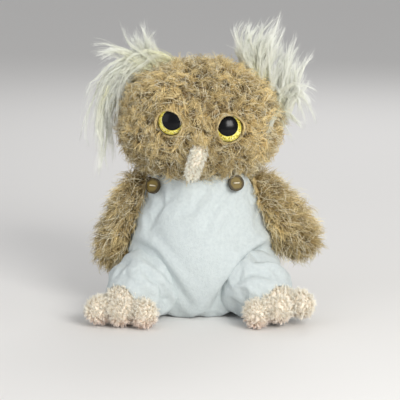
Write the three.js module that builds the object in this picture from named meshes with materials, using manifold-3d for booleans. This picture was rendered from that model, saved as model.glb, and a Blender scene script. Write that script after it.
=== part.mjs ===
// A plush owl that sits upright in fleece overalls: a stuffed torso carries a wide shaggy head,
// two wings and two legs. Millimetres, +Z up. The owl faces -Y, so its own left side is at +X.
// The origin is under the middle of the torso, on the surface that the owl sits on.
import * as THREE from "three";
import { mergeVertices } from "three/addons/utils/BufferGeometryUtils.js";
import Module from "manifold-3d";

const wasm = await Module();
wasm.setup();

// Clearances
const seam_gap = 0.3; // between pieces that are sewn or pressed together
const joint_gap = 0.4; // round the ends of the limbs, where they turn in the torso
const overrun = 40; // how far a cutting body runs past what it cuts
const rest_cut = 0.5; // depth of the flat that a stuffed foot presses on the surface

// Torso
const torso_width = 102;
const torso_depth = 94;
const torso_height = 114;
const torso_squareness = 0.88;
const torso_profile_shares = [
  [0.74, 0],
  [0.9, 0.06],
  [0.98, 0.16],
  [1, 0.28],
  [0.97, 0.42],
  [0.89, 0.57],
  [0.8, 0.72],
  [0.71, 0.84],
  [0.56, 0.93],
  [0.34, 0.965],
  [0.3, 0.985],
  [0.12, 1],
];

// Overalls
const fleece_thickness = 2.5;
const bib_drop = 14.8; // from the top of the torso down to the top edge of the bib
const waist_drop = 48.8; // from the top of the torso down to the back waist
const bib_setback = 17; // from the torso's middle forward to the end of the bib's top edge
const waist_setback = 3; // from the torso's middle forward to where the armhole ends
const strap_width = 11;
const strap_inset = 7.6; // of its middle line, from the side of the torso at the bib's top edge

// Buttons
const button_diameter = 11.5;
const button_thickness = 2.4;
const button_rim_width = 1.4;
const button_dish_depth = 0.7;
const button_hole_diameter = 1.7;
const button_hole_spacing = 3.6;
const button_inset = { left: 13.4, right: 7.4 }; // from the side of the torso at that height
const button_drop = { left: 6.2, right: 9 }; // below the top edge of the bib
const button_stand_off = 1.7; // left under the middle of a button, where the bib is curved
const button_turn_share = 0.6; // of the bib's own slope there
const thread_diameter = 1;

// Head
const head_width = 118;
const head_depth = 100;
const head_height = 86;
const head_overlap = 21.6; // how far the neck reaches up into the head
const head_forward = 4;
const head_squareness = 0.9;
const neck_seat_rise = 17.5;
const neck_seat_squareness = 0.8;

// Eyes
const eye_diameter = 19.5;
const eye_rim_thickness = 1.2;
const eye_dome_height = 5;
const eye_sink = 3; // how far the back of the eye lies under the fur's surface
const eye_offset = 19.4;
const eye_rise = { left: 0.7, right: 5.5 }; // above the middle of the head
const eye_turn_deg = 13;
const eye_lift_deg = 4;
const pupil_diameter = 14.4;
const pupil_seat_depth = 2;
const shank_diameter = 4.5;
const shank_length = 13;
const washer_diameter = 14;
const washer_thickness = 1.6;
const washer_depth = 5;

// Beak
const beak_diameter = 11;
const beak_root_drop = 12; // below the middle of the head
const beak_root_sink = 4;
const beak_drop = 21;
const beak_reach = 10;
const beak_lean = 7; // sideways, to the owl's own right
const beak_profile_shares = [
  [0.9, 0],
  [1, 0.2],
  [0.95, 0.5],
  [0.78, 0.8],
  [0.58, 0.93],
  [0.3, 0.99],
];

// Tufts of long hair, each an outer lock and an upright lock; the right outer lock falls beside the head
const outer_lock_diameter = { left: 28, right: 26 };
const upright_lock_diameter = { left: 32, right: 16 };
const tuft_depth_share = 0.85;
const tuft_profile_shares = [
  [0.45, 0],
  [0.8, 0.06],
  [1, 0.2],
  [0.95, 0.42],
  [0.72, 0.62],
  [0.42, 0.8],
  [0.18, 0.94],
];
// Places from the middle of the head: across, back and up, as shares of its half sizes
const outer_path_shares = {
  left: [
    [0.84, 0.12, 0.3],
    [1, 0.08, 0.6],
    [1.1, 0.05, 0.92],
    [1.2, 0.03, 1.18],
    [1.32, 0.02, 1.34],
  ],
  right: [
    [0.5, 0.12, 0.76],
    [0.72, 0.1, 0.98],
    [1, 0.05, 0.86],
    [1.18, 0, 0.52],
    [1.26, -0.04, 0.08],
    [1.26, -0.07, -0.42],
  ],
};
const upright_path_shares = {
  left: [
    [0.66, 0.12, 0.56],
    [0.7, 0.1, 0.98],
    [0.72, 0.08, 1.32],
    [0.82, 0.06, 1.7],
  ],
  right: [
    [0.52, 0.12, 0.7],
    [0.64, 0.1, 1],
    [0.74, 0.08, 1.26],
    [0.81, 0.06, 1.5],
  ],
};

// Wings
const wing_length = 60;
const wing_width = 33;
const wing_depth = 28;
const shoulder_depth = 30;
const shoulder_drop = 31; // from the top of the neck down to the wing's hinge
const shoulder_sink = 3; // of the hinge, into the side of the torso
const wing_splay_deg = { left: 43, right: 26 };
const wing_profile_shares = [
  [0.9, 0],
  [0.97, 0.2],
  [1, 0.4],
  [0.97, 0.6],
  [0.85, 0.78],
  [0.63, 0.91],
  [0.34, 0.98],
];

// Legs and trouser legs
const crotch_width = 29; // between the two leg openings
const hip_forward = 26;
const hip_diameter = 44;
const hip_width = 37;
const trouser_length = 30; // from the hip to the cuff
const trouser_diameter = 43;
const cuff_diameter = 36;
const trouser_splay_deg = 38;
const leg_diameter = 26;
const leg_lift_deg = 10;
const leg_lower_deg = 80;
const trouser_profile_shares = [
  [0.97, 0],
  [1, 0.35],
  [0.97, 0.7],
];

// Feet
const toe_width = 19.5;
const toe_length = 26;
const toe_height = 22;
const toe_spacing = 15.5;
const toe_fan_deg = 12;
const toe_forward = 6; // from the middle of the pad
const pad_width = 44;
const pad_length = 31;
const pad_height = 22;
const foot_forward = 8; // from the cuff to the middle of the pad
const foot_outward = 2;
const foot_turn_deg = 12;
const foot_roll_deg = { left: 9, right: 2 };

// Fineness of the round forms
const body_sides = 28;
const limb_sides = 20;
const lock_sides = 10;
const small_sides = 16;
const body_rings = 16;
const limb_rings = 10;
const toe_sides = 14;
const toe_rings = 8;
const arc_steps = 8;
const path_steps = 14;
const small_step = 0.6; // radius of the last ring round the crown of a pupil

// Colours and finishes
const finishes = {
  fur: { color: 0xaf9169, roughness: 0.95, metalness: 0 },
  hair: { color: 0xe6e2c8, roughness: 0.7, metalness: 0 },
  fleece: { color: 0xe6e9ec, roughness: 0.95, metalness: 0 },
  chenille: { color: 0xead5cb, roughness: 0.95, metalness: 0 },
  glitter: { color: 0xc9a227, roughness: 0.25, metalness: 0.4 },
  black: { color: 0x0b0b0c, roughness: 0.08, metalness: 0 },
  button: { color: 0x7a5a2a, roughness: 0.35, metalness: 0 },
  thread: { color: 0xe8dfc9, roughness: 0.9, metalness: 0 },
  nylon: { color: 0xdddddd, roughness: 0.5, metalness: 0 },
};

const radians = THREE.MathUtils.degToRad;
const quarter_turn = radians(90);
const owl = new THREE.Group();

// A geometry as a solid whose faces point outwards.
function solid(geometry) {
  const bare = geometry.clone();
  bare.deleteAttribute("normal");
  bare.deleteAttribute("uv");
  const merged = mergeVertices(bare);
  const vertProperties = merged.attributes.position.array;
  const triVerts = new Uint32Array(merged.index.array);
  const made = new wasm.Manifold(new wasm.Mesh({ numProp: 3, vertProperties, triVerts }));
  if (made.volume() > 0) return made;
  triVerts.reverse();
  return new wasm.Manifold(new wasm.Mesh({ numProp: 3, vertProperties, triVerts }));
}

// Adds one solid to the owl as a named mesh with its own material.
function piece(name, finish, form) {
  const made = form.getMesh();
  const geometry = new THREE.BufferGeometry();
  geometry.setAttribute("position", new THREE.BufferAttribute(made.vertProperties, made.numProp));
  geometry.setIndex(new THREE.BufferAttribute(made.triVerts, 1));
  geometry.computeVertexNormals();
  const mesh = new THREE.Mesh(geometry, new THREE.MeshStandardMaterial(finishes[finish]));
  mesh.name = name;
  owl.add(mesh);
}

// A body turned about Z from [radius, height] points; it closes on the axis at both ends.
function turned(points, sides) {
  const profile = points.map(([radius, height]) => new THREE.Vector2(radius, height));
  profile.unshift(new THREE.Vector2(0, profile[0].y));
  profile.push(new THREE.Vector2(0, profile.at(-1).y));
  return new THREE.LatheGeometry(profile, sides).rotateX(quarter_turn);
}

// A ring turned about Z with a rectangular section.
function ring(inner, outer, bottom, top, sides) {
  const corners = [[inner, bottom], [outer, bottom], [outer, top], [inner, top], [inner, bottom]];
  const profile = corners.map(([radius, height]) => new THREE.Vector2(radius, height));
  return new THREE.LatheGeometry(profile, sides).rotateX(quarter_turn);
}

// A rounded body with its poles on Z: below a squareness of 1 it fills its box more than an ellipsoid.
function blob(width, depth, height, sides, rings, squareness = 1) {
  const points = [];
  for (let i = 0; i <= rings; i++) {
    const angle = Math.PI * (i / rings - 1 / 2);
    const radius = i % rings ? Math.pow(Math.cos(angle), squareness) : 0;
    const rise = Math.sign(angle) * Math.pow(Math.abs(Math.sin(angle)), squareness);
    points.push(new THREE.Vector2(radius, rise));
  }
  const unit = new THREE.LatheGeometry(points, sides).rotateX(quarter_turn);
  return unit.scale(width / 2, depth / 2, height / 2);
}

// A closed body along a curve: profile shares give its radius at places along the curve.
function along(curve, profile_shares, radius, sides, depth_share) {
  const stations = profile_shares.map(([share, place]) => new THREE.Vector2(share * radius, place));
  const profile = new THREE.SplineCurve(stations).getPoints(path_steps);
  profile.unshift(new THREE.Vector2(0, 0));
  profile.push(new THREE.Vector2(0, 1));
  const geometry = new THREE.LatheGeometry(profile, sides);
  const at = geometry.attributes.position;
  const front = new THREE.Vector3(0, -1, 0);
  for (let i = 0; i < at.count; i++) {
    const place = THREE.MathUtils.clamp(at.getY(i), 0, 1);
    const tangent = curve.getTangentAt(place);
    const side = new THREE.Vector3().crossVectors(tangent, front).normalize();
    const face = new THREE.Vector3().crossVectors(side, tangent);
    const point = curve.getPointAt(place);
    point.addScaledVector(side, at.getX(i)).addScaledVector(face, at.getZ(i) * depth_share);
    at.setXYZ(i, point.x, point.y, point.z);
  }
  return geometry;
}

// A block between two values of X, far past the owl in Y and Z.
function slab(from, to) {
  const block = new THREE.BoxGeometry(to - from, 2 * far, 2 * far);
  return solid(block.translate((from + to) / 2, 0, 0));
}

// An outline of [y, z] points run along X from one place to another.
function run_across(outline, from, to) {
  const shape = new THREE.Shape(outline.map(([y, z]) => new THREE.Vector2(y, z)));
  const block = new THREE.ExtrudeGeometry(shape, { depth: Math.abs(to - from), bevelEnabled: false });
  const turn = new THREE.Matrix4().makeBasis(
    new THREE.Vector3(0, 1, 0),
    new THREE.Vector3(0, 0, 1),
    new THREE.Vector3(Math.sign(to - from), 0, 0),
  );
  return solid(block.applyMatrix4(turn).translate(from, 0, 0));
}

// Places that more than one piece uses
const cloth_layer = seam_gap + fleece_thickness;
const torso_bottom = cloth_layer;
const torso_top = torso_bottom + torso_height;
const bib_top_height = torso_top - bib_drop;
const waist_height = torso_top - waist_drop;
const far = torso_width + head_height + overrun;
const sides = [["left", 1], ["right", -1]];
const head_middle = new THREE.Vector3(0, -head_forward, torso_top - head_overlap + head_height / 2);
const hip_outward = (crotch_width + hip_width) / 2 + joint_gap;
const hip_height = hip_diameter / 2 + seam_gap;

// The torso's outer form, grown evenly by a cloth thickness or a clearance.
function torso_form(growth) {
  const points = torso_profile_shares.map(([across, up]) => [
    (across * torso_width) / 2 + growth,
    torso_bottom - growth + up * (torso_height + 2 * growth),
  ]);
  const form = turned(points, body_sides);
  const at = form.attributes.position;
  for (let i = 0; i < at.count; i++) {
    const radius = Math.hypot(at.getX(i), at.getY(i));
    if (radius === 0) continue;
    const fill = (value) => Math.sign(value) * radius * Math.pow(Math.abs(value) / radius, torso_squareness);
    at.setX(i, fill(at.getX(i)));
    at.setY(i, fill(at.getY(i)));
  }
  return solid(form.scale(1, torso_depth / torso_width, 1));
}

// Half the torso's width at a height above its own underside.
function torso_half_width(height) {
  const up = height / torso_height;
  const next = torso_profile_shares.findIndex(([, place]) => place > up);
  const [low, high] = [torso_profile_shares[next - 1], torso_profile_shares[next]];
  return (torso_width / 2) * THREE.MathUtils.lerp(low[0], high[0], (up - low[1]) / (high[1] - low[1]));
}

// How far forward the torso's surface lies at a place across it and a height above its underside.
function torso_front(across, height) {
  const half = torso_half_width(height);
  const power = 2 / torso_squareness;
  const reach = Math.pow(1 - Math.pow(Math.abs(across) / half, power), 1 / power);
  return (reach * half * torso_depth) / torso_width;
}

// The space that a leg sweeps beside the crotch, from lifted to standing.
function leg_bay(sign) {
  const radius = hip_diameter / 2 + joint_gap;
  const lifted = radians(180 - leg_lift_deg);
  const lowered = radians(180 + leg_lower_deg);
  const rim = (angle) => [-hip_forward + radius * Math.cos(angle), hip_height + radius * Math.sin(angle)];
  const ahead = ([y, z], angle) => [y + far * Math.cos(angle), z + far * Math.sin(angle)];
  const start = lifted - quarter_turn;
  const end = lowered - 3 * quarter_turn;
  const outline = [ahead(rim(start), lifted)];
  for (let i = 0; i <= arc_steps; i++) outline.push(rim(THREE.MathUtils.lerp(start, end, i / arc_steps)));
  outline.push(ahead(rim(end), lowered), [-far, -far]);
  return run_across(outline, (sign * crotch_width) / 2, sign * far);
}

// Everything above the top edge of the bib, the armholes and the back waist.
function above_overalls(gap) {
  const armhole = new THREE.CubicBezierCurve(
    new THREE.Vector2(-bib_setback, bib_top_height + gap),
    new THREE.Vector2(-waist_setback, bib_top_height + gap),
    new THREE.Vector2(-bib_setback, waist_height + gap),
    new THREE.Vector2(-waist_setback, waist_height + gap),
  );
  const edge = armhole.getPoints(arc_steps).map((point) => [point.x, point.y]);
  edge.unshift([-far, bib_top_height + gap]);
  edge.push([far, waist_height + gap], [far, far], [-far, far]);
  return run_across(edge, -far, far);
}

// The hinge of a wing: on a line along Y, a little inside the side of the torso.
function wing_hinge(sign) {
  const height = torso_height - shoulder_drop;
  return [sign * (torso_half_width(height) + fleece_thickness - shoulder_sink), 0, torso_bottom + height];
}

// The round shoulder of a wing, turned about its own hinge.
function shoulder(sign, growth) {
  const across = wing_width + 2 * growth;
  const form = blob(across, across, shoulder_depth + 2 * growth, limb_sides, limb_rings);
  return solid(form.rotateX(quarter_turn).translate(...wing_hinge(sign)));
}

const bays = leg_bay(1).add(leg_bay(-1));
const shoulder_seats = shoulder(1, joint_gap).add(shoulder(-1, joint_gap));
const torso = torso_form(0).subtract(bays).subtract(shoulder_seats);
piece("torso", "fur", torso);

// The overalls are one fleece cup round the torso, from the seat up to the bib, open at the legs.
const cloth_shell = torso_form(cloth_layer).subtract(torso_form(seam_gap)).subtract(shoulder_seats);
const overalls = cloth_shell.subtract(bays).subtract(above_overalls(0));
piece("overalls", "fleece", overalls);

// A strap runs from the bib over the shoulder to the back of the waist.
for (const [side, sign] of sides) {
  const middle = torso_half_width(torso_height - bib_drop) - strap_inset;
  const [near, out] = [middle - strap_width / 2, middle + strap_width / 2];
  const band = slab(Math.min(sign * near, sign * out), Math.max(sign * near, sign * out));
  piece(`${side}_strap`, "fleece", cloth_shell.intersect(band).intersect(above_overalls(seam_gap)));
}

// Turns a piece that faces +Z towards the front, then leans it up and turns it sideways, in radians.
function face_front(form, lean, sideways, place) {
  const turn = new THREE.Matrix4().makeRotationZ(sideways);
  turn.multiply(new THREE.Matrix4().makeRotationX(quarter_turn - lean));
  return form.transform(turn.setPosition(place).elements);
}

// A round rod between two heights, beside the Z axis.
function rod(diameter, across, from, to) {
  return solid(turned([[diameter / 2, from], [diameter / 2, to]], small_sides / 2).translate(across, 0, 0));
}

// A two-hole button with a raised rim holds the strap at the corner of the bib, with one loop of thread.
for (const [side, sign] of sides) {
  const radius = button_diameter / 2;
  const dish_radius = radius - button_rim_width;
  const dish_floor = button_thickness - button_dish_depth;
  const blank = turned(
    [[radius, 0], [radius, button_thickness], [dish_radius, button_thickness], [dish_radius, dish_floor]],
    limb_sides,
  );
  const across = button_hole_spacing / 2;
  let button = solid(blank);
  const thread_height = dish_floor + seam_gap + thread_diameter / 2;
  let thread = rod(thread_diameter, 0, -across, across).rotate([0, 90, 0]).translate([0, 0, thread_height]);
  for (const place of [-across, across]) {
    button = button.subtract(rod(button_hole_diameter, place, -overrun, overrun));
    thread = thread.add(rod(thread_diameter, place, 0, thread_height));
  }
  const height = torso_height - bib_drop - button_drop[side];
  const offset = torso_half_width(height) - button_inset[side];
  // The button lies along the bib, so it takes the slope of the torso's surface there.
  const fall = (x, z) => torso_front(offset - x, height - z) - torso_front(offset + x, height + z);
  const lean = button_turn_share * Math.atan(fall(0, radius) / button_diameter);
  const sideways = sign * button_turn_share * Math.atan(fall(radius, 0) / button_diameter);
  const place = new THREE.Vector3(sign * offset, -torso_front(offset, height), torso_bottom + height);
  const set = (form) => {
    const raised = form.translate([0, 0, cloth_layer + button_stand_off]);
    return face_front(raised, lean, sideways, place);
  };
  piece(`${side}_button`, "button", set(button));
  piece(`${side}_button_thread`, "thread", set(thread));
}

// The head's outer form, the surface of its fur, grown evenly by a clearance.
function head_form(growth) {
  const grow = 2 * growth;
  const size = [head_width + grow, head_depth + grow, head_height + grow];
  return solid(blob(...size, body_sides, body_rings, head_squareness).translate(...head_middle));
}

// How far the head's surface lies in front of its middle, at a place across and above that middle.
function head_front(across, above) {
  const power = 2 / head_squareness;
  const level = Math.pow(1 - Math.pow(Math.abs((2 * above) / head_height), power), 1 / power);
  return (head_depth / 2) * Math.sqrt(level * level - Math.pow((2 * across) / head_width, 2));
}

// A round seat over the neck and the straps, so that the head can turn on them.
const neck_seat_diameter = 2 * (torso_half_width(torso_height - head_overlap) + cloth_layer);
const neck_seat_size = [neck_seat_diameter, neck_seat_diameter, 2 * neck_seat_rise];
const neck_seat = solid(
  blob(...neck_seat_size, body_sides, body_rings, neck_seat_squareness)
    .translate(0, 0, torso_top + seam_gap - neck_seat_rise),
);
let head = head_form(0).subtract(neck_seat);

// A safety eye: a glitter dome moulded on a shank, a black pupil let into it, and a washer
// pressed on the shank inside the head.
const dome_rise = (radius) => {
  const share = (2 * radius) / eye_diameter;
  return eye_rim_thickness + eye_dome_height * Math.sqrt(1 - share * share);
};
const dome_points = (from, to) => {
  const points = [];
  for (let i = 0; i <= arc_steps; i++) {
    const radius = THREE.MathUtils.lerp(from, to, i / arc_steps);
    points.push([radius, dome_rise(radius)]);
  }
  return points;
};
for (const [side, sign] of sides) {
  const diameters = [eye_diameter, pupil_diameter, shank_diameter, washer_diameter];
  const [eye, pupil, shank, washer] = diameters.map((diameter) => diameter / 2);
  const seat = dome_rise(pupil) - pupil_seat_depth;
  const dome = turned(
    [
      [shank, -shank_length],
      [shank, 0],
      [eye, 0],
      ...dome_points(eye, pupil + seam_gap),
      [pupil + seam_gap, seat],
    ],
    limb_sides,
  );
  const bead = turned([[pupil, seat + seam_gap], ...dome_points(pupil, small_step)], limb_sides);
  const disc = ring(shank + seam_gap, washer, -washer_depth - washer_thickness, -washer_depth, small_sides);
  const pocket = turned(
    [
      [shank + seam_gap, -shank_length - seam_gap],
      [shank + seam_gap, -washer_depth - washer_thickness - seam_gap],
      [washer + seam_gap, -washer_depth - washer_thickness - seam_gap],
      [washer + seam_gap, -washer_depth + seam_gap],
      [shank + seam_gap, -washer_depth + seam_gap],
      [shank + seam_gap, -seam_gap],
      [eye + seam_gap, -seam_gap],
      [eye + seam_gap, overrun],
    ],
    limb_sides,
  );
  const rise = eye_rise[side];
  const front = head_front(eye_offset, rise) - eye_sink;
  const place = new THREE.Vector3(sign * eye_offset, -front, rise).add(head_middle);
  const set = (form) => face_front(form, radians(eye_lift_deg), sign * radians(eye_turn_deg), place);
  head = head.subtract(set(solid(pocket)));
  piece(`${side}_eye`, "glitter", set(solid(dome)));
  piece(`${side}_pupil`, "black", set(solid(bead)));
  piece(`${side}_eye_washer`, "nylon", set(solid(disc)));
}
piece("head", "fur", head);

// The beak is a soft cone sewn to the face; it hangs over the bib and leans to one side.
const beak_root_front = head_front(0, beak_root_drop) - beak_root_sink;
const beak_root = new THREE.Vector3(0, -beak_root_front, -beak_root_drop).add(head_middle);
const beak_run = new THREE.Vector3(-beak_lean, -beak_reach - beak_root_sink, -beak_drop);
const beak_tip = beak_root.clone().add(beak_run);
const beak_bend = new THREE.Vector3(beak_root.x, beak_tip.y, beak_root.z);
const beak_line = new THREE.QuadraticBezierCurve3(beak_root, beak_bend, beak_tip);
const beak = solid(along(beak_line, beak_profile_shares, beak_diameter / 2, small_sides, 1));
piece("beak", "chenille", beak.subtract(head_form(seam_gap)));

// A tuft of long hair is sewn on each upper side of the head: one lock leans outwards and one stands up.
for (const [side, sign] of sides) {
  const half_size = new THREE.Vector3((sign * head_width) / 2, head_depth / 2, head_height / 2);
  const lock = (path_shares, diameter) => {
    const points = path_shares.map((shares) => new THREE.Vector3(...shares).multiply(half_size));
    points.forEach((point) => point.add(head_middle));
    const line = new THREE.CatmullRomCurve3(points);
    return solid(along(line, tuft_profile_shares, diameter / 2, lock_sides, tuft_depth_share));
  };
  const outer = lock(outer_path_shares[side], outer_lock_diameter[side]);
  const upright = lock(upright_path_shares[side], upright_lock_diameter[side]);
  piece(`${side}_tuft`, "hair", outer.add(upright).subtract(head_form(seam_gap)));
}

// A wing is a flat stuffed limb on a round shoulder; it is pressed flat where it lies on the overalls.
const torso_side = torso_form(cloth_layer + joint_gap);
for (const [side, sign] of sides) {
  const half = wing_width / 2;
  const points = wing_profile_shares.map(([share, place]) => [share * half, -place * wing_length]);
  const limb = turned(points.reverse(), limb_sides).scale(1, wing_depth / wing_width, 1);
  limb.rotateY(-sign * radians(wing_splay_deg[side])).translate(...wing_hinge(sign));
  piece(`${side}_wing`, "fur", solid(limb).subtract(torso_side).add(shoulder(sign, 0)));
}

// A tube from one place to another along a leg, out from the hip and towards the foot.
function leg_tube(sign, points) {
  const tube = turned(points, limb_sides).rotateX(quarter_turn).rotateZ(sign * radians(trouser_splay_deg));
  return solid(tube.translate(sign * hip_outward, -hip_forward, hip_height));
}

// A trouser leg covers a stuffed leg; both start at a round hip that is turned about its own hinge.
function trouser_form(sign, growth) {
  const points = trouser_profile_shares.map(([share, place]) => [
    (share * trouser_diameter) / 2 + growth,
    place * trouser_length,
  ]);
  points.push([cuff_diameter / 2 + growth, trouser_length + growth]);
  const round = hip_diameter + 2 * growth;
  const hip = solid(
    blob(hip_width + 2 * growth, round, round, limb_sides, limb_rings)
      .translate(sign * hip_outward, -hip_forward, hip_height),
  );
  return leg_tube(sign, points).add(hip);
}

// The foot is a pad with three round toes, cut flat where it rests on the surface.
function foot_form(sign, side) {
  let foot = solid(blob(pad_width, pad_length, pad_height, toe_sides, toe_rings));
  for (const place of [-1, 0, 1]) {
    const toe = blob(toe_width, toe_length, toe_height, toe_sides, toe_rings).translate(0, -toe_forward, 0);
    foot = foot.add(solid(toe.rotateZ(place * radians(toe_fan_deg)).translate(place * toe_spacing, 0, 0)));
  }
  const splay = radians(trouser_splay_deg);
  const turned_foot = foot.rotate([0, -sign * foot_roll_deg[side], 0]).rotate([0, 0, sign * foot_turn_deg]);
  const outward = hip_outward + trouser_length * Math.sin(splay) + foot_outward;
  const forward = hip_forward + trouser_length * Math.cos(splay) + foot_forward;
  const lowest = turned_foot.boundingBox().min[2];
  const placed = turned_foot.translate([sign * outward, -forward, -lowest - rest_cut]);
  return placed.trimByPlane([0, 0, 1], 0);
}

for (const [side, sign] of sides) {
  const trouser = trouser_form(sign, 0);
  const core = (growth) => {
    const radius = leg_diameter / 2 + growth;
    return leg_tube(sign, [[radius, -far], [radius, far]]);
  };
  piece(`${side}_leg`, "chenille", trouser.intersect(core(0)));
  piece(`${side}_trouser_leg`, "fleece", trouser.subtract(core(seam_gap)));
  piece(`${side}_foot`, "chenille", foot_form(sign, side).subtract(trouser_form(sign, seam_gap)));
}

export default owl;
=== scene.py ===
import math

import bpy
import numpy as np
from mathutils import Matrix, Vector


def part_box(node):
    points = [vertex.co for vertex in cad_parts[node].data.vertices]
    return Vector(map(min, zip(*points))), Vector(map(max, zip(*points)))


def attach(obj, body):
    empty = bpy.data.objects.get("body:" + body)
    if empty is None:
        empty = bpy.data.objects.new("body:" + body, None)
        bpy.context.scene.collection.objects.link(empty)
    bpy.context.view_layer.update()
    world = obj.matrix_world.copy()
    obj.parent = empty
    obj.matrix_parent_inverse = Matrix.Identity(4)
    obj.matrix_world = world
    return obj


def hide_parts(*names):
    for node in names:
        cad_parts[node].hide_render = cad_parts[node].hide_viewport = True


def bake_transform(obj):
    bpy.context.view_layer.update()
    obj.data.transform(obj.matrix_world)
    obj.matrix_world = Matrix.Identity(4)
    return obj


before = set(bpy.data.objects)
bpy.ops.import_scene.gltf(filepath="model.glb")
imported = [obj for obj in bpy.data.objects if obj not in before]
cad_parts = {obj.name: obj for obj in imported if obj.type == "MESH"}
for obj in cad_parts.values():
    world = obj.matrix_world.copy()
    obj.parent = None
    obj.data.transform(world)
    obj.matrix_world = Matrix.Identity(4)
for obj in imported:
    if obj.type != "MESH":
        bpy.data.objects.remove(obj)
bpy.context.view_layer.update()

# Camera, lamps and floor
# A plain pale studio. The camera looks at the owl from straight ahead and a little above; a wide soft
# lamp hangs in front above it, a weaker one fills from its other side, and the floor and the sky round it
# are the same grey.
mm = 0.001
camera_distance = 1.15
camera_lift = math.radians(10)
camera_target = Vector((0, 0, 79.4 * mm))
picture_width = 294 * mm
floor_half_width = 8
floor_colour = (0.80, 0.79, 0.78)
sky_colour = (0.86, 0.86, 0.86)
sky_light = 0.48

camera = bpy.data.objects.new("camera", bpy.data.cameras.new("camera"))
bpy.context.scene.collection.objects.link(camera)
camera.location = camera_target + camera_distance * Vector((0, -math.cos(camera_lift), math.sin(camera_lift)))
camera.rotation_euler = (math.radians(90) - camera_lift, 0, 0)
camera.data.lens = camera.data.sensor_width * camera_distance / picture_width
bpy.context.scene.camera = camera
bpy.context.scene.view_settings.view_transform = "Standard"

# name, place in metres, size, colour, and how bright it makes a white sheet that faces it, where 1 is
# white
lamps = [
    ("key_lamp", (0.58, -1.1, 0.66), 0.6, (1, 0.985, 0.95), 0.80),
    ("fill_lamp", (-1.1, -0.8, 0.5), 0.9, (0.93, 0.96, 1), 0.15),
    ("back_lamp", (0.3, 1.2, 1.1), 0.8, (1, 1, 1), 0.22),
]
for name, place, size, colour, brightness in lamps:
    lamp = bpy.data.objects.new(name, bpy.data.lights.new(name, "AREA"))
    bpy.context.scene.collection.objects.link(lamp)
    lamp.location = place
    lamp.rotation_euler = (camera_target - lamp.location).to_track_quat("-Z", "Y").to_euler()
    lamp.data.size = size
    lamp.data.color = colour
    lamp.data.energy = brightness * (math.pi * (lamp.location - camera_target).length) ** 2


def new_nodes(tree, *kinds):
    """Shader nodes of the given kinds, new in a node tree. A Mix node mixes colours."""
    made = [tree.nodes.new(f"ShaderNode{kind}") for kind in kinds]
    for node in made:
        if node.bl_idname == "ShaderNodeMix":
            node.data_type = "RGBA"
    return made


def join(tree, *joins):
    """Links nodes in a tree: each join names a node, its output, a later node and its input."""
    for node, output, later, socket in joins:
        tree.links.new(node.outputs[output], later.inputs[socket])


sky = bpy.data.worlds.new("sky")
sky.use_nodes = True
bpy.context.scene.world = sky
sky_path, sky_mix = new_nodes(sky.node_tree, "LightPath", "Mix")
sky_mix.inputs["A"].default_value = (sky_light, sky_light, sky_light, 1)
sky_mix.inputs["B"].default_value = (*sky_colour, 1)
join(sky.node_tree, (sky_path, "Is Camera Ray", sky_mix, "Factor"),
     (sky_mix, "Result", sky.node_tree.nodes["Background"], "Color"))


def new_material(name, colour, roughness, **sockets):
    """A material with one Principled shader: its plain values are set on the shader's own sockets."""
    made = bpy.data.materials.new(name)
    made.use_nodes = True
    shader = made.node_tree.nodes["Principled BSDF"]
    shader.inputs["Base Color"].default_value = (*colour, 1)
    shader.inputs["Roughness"].default_value = roughness
    for socket, value in sockets.items():
        shader.inputs[socket.replace("_", " ")].default_value = value
    return made


def mesh_object(name, points, faces, smooth=True):
    """A mesh object from an array of points and a list of arrays of faces, each array with one face
    size."""
    mesh = bpy.data.meshes.new(name)
    corners = np.concatenate([part.ravel() for part in faces])
    sizes = np.concatenate([np.full(len(part), part.shape[1]) for part in faces])
    mesh.vertices.add(len(points))
    mesh.vertices.foreach_set("co", np.asarray(points, np.float32).ravel())
    mesh.loops.add(len(corners))
    mesh.loops.foreach_set("vertex_index", corners.astype(np.int32))
    mesh.polygons.add(len(sizes))
    mesh.polygons.foreach_set("loop_start", (np.cumsum(sizes) - sizes).astype(np.int32))
    mesh.polygons.foreach_set("loop_total", sizes.astype(np.int32))
    mesh.polygons.foreach_set("use_smooth", np.full(len(sizes), smooth))
    mesh.update(calc_edges=True)
    made = bpy.data.objects.new(name, mesh)
    bpy.context.scene.collection.objects.link(made)
    return made


floor_corners = np.array([(-1, -1, 0), (1, -1, 0), (1, 1, 0), (-1, 1, 0)]) * floor_half_width
floor = mesh_object("floor", floor_corners, [np.array([(0, 1, 2, 3)])])
floor.data.materials.append(new_material("floor_paper", floor_colour, 0.9))

# Torso
# A stuffed bag of tan pile fabric, widest low down and drawn in at the neck. The overalls hide most of
# it, so its long curly pile shows on the shoulders, at the neck and down the back to the waist.
torso_low, torso_high = (np.array(corner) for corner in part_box("torso"))
torso_half = (torso_high - torso_low) / 2
torso_middle = (torso_high + torso_low) / 2
torso_squareness = 0.88
torso_profile_shares = np.array([
    (0, 0), (0.74, 0), (0.9, 0.06), (0.98, 0.16), (1, 0.28), (0.97, 0.42), (0.89, 0.57), (0.8, 0.72),
    (0.71, 0.84), (0.56, 0.93), (0.34, 0.965), (0.3, 0.985), (0.12, 1), (0, 1),
])
profile_round_off_share = 0.03
torso_pile_depth = 4.5 * mm


def along_profile(shares, place, round_off):
    """A point of an outline at each place from 0 to 1 along its length, as the mean of the outline's
    points at seven places round it, which rounds its corners off. Its two ends stay where they are."""
    steps = np.linalg.norm(np.diff(shares, axis=0), axis=1)
    reached = np.concatenate([[0], np.cumsum(steps)]) / steps.sum()
    reach = np.minimum(round_off, np.minimum(place, 1 - place))
    around = place[..., None] + reach[..., None] * np.linspace(-1, 1, 7)
    return [np.interp(around, reached, shares[:, axis]).mean(-1) for axis in (0, 1)]


def rounded(turn, squareness):
    """Cosine and sine of turns from 0 to 1, each raised to squareness with its sign kept: 1 gives a
    circle and less fills out its square."""
    angle = 2 * math.pi * turn
    return [np.sign(wave) * np.abs(wave) ** squareness for wave in (np.cos(angle), np.sin(angle))]


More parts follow.
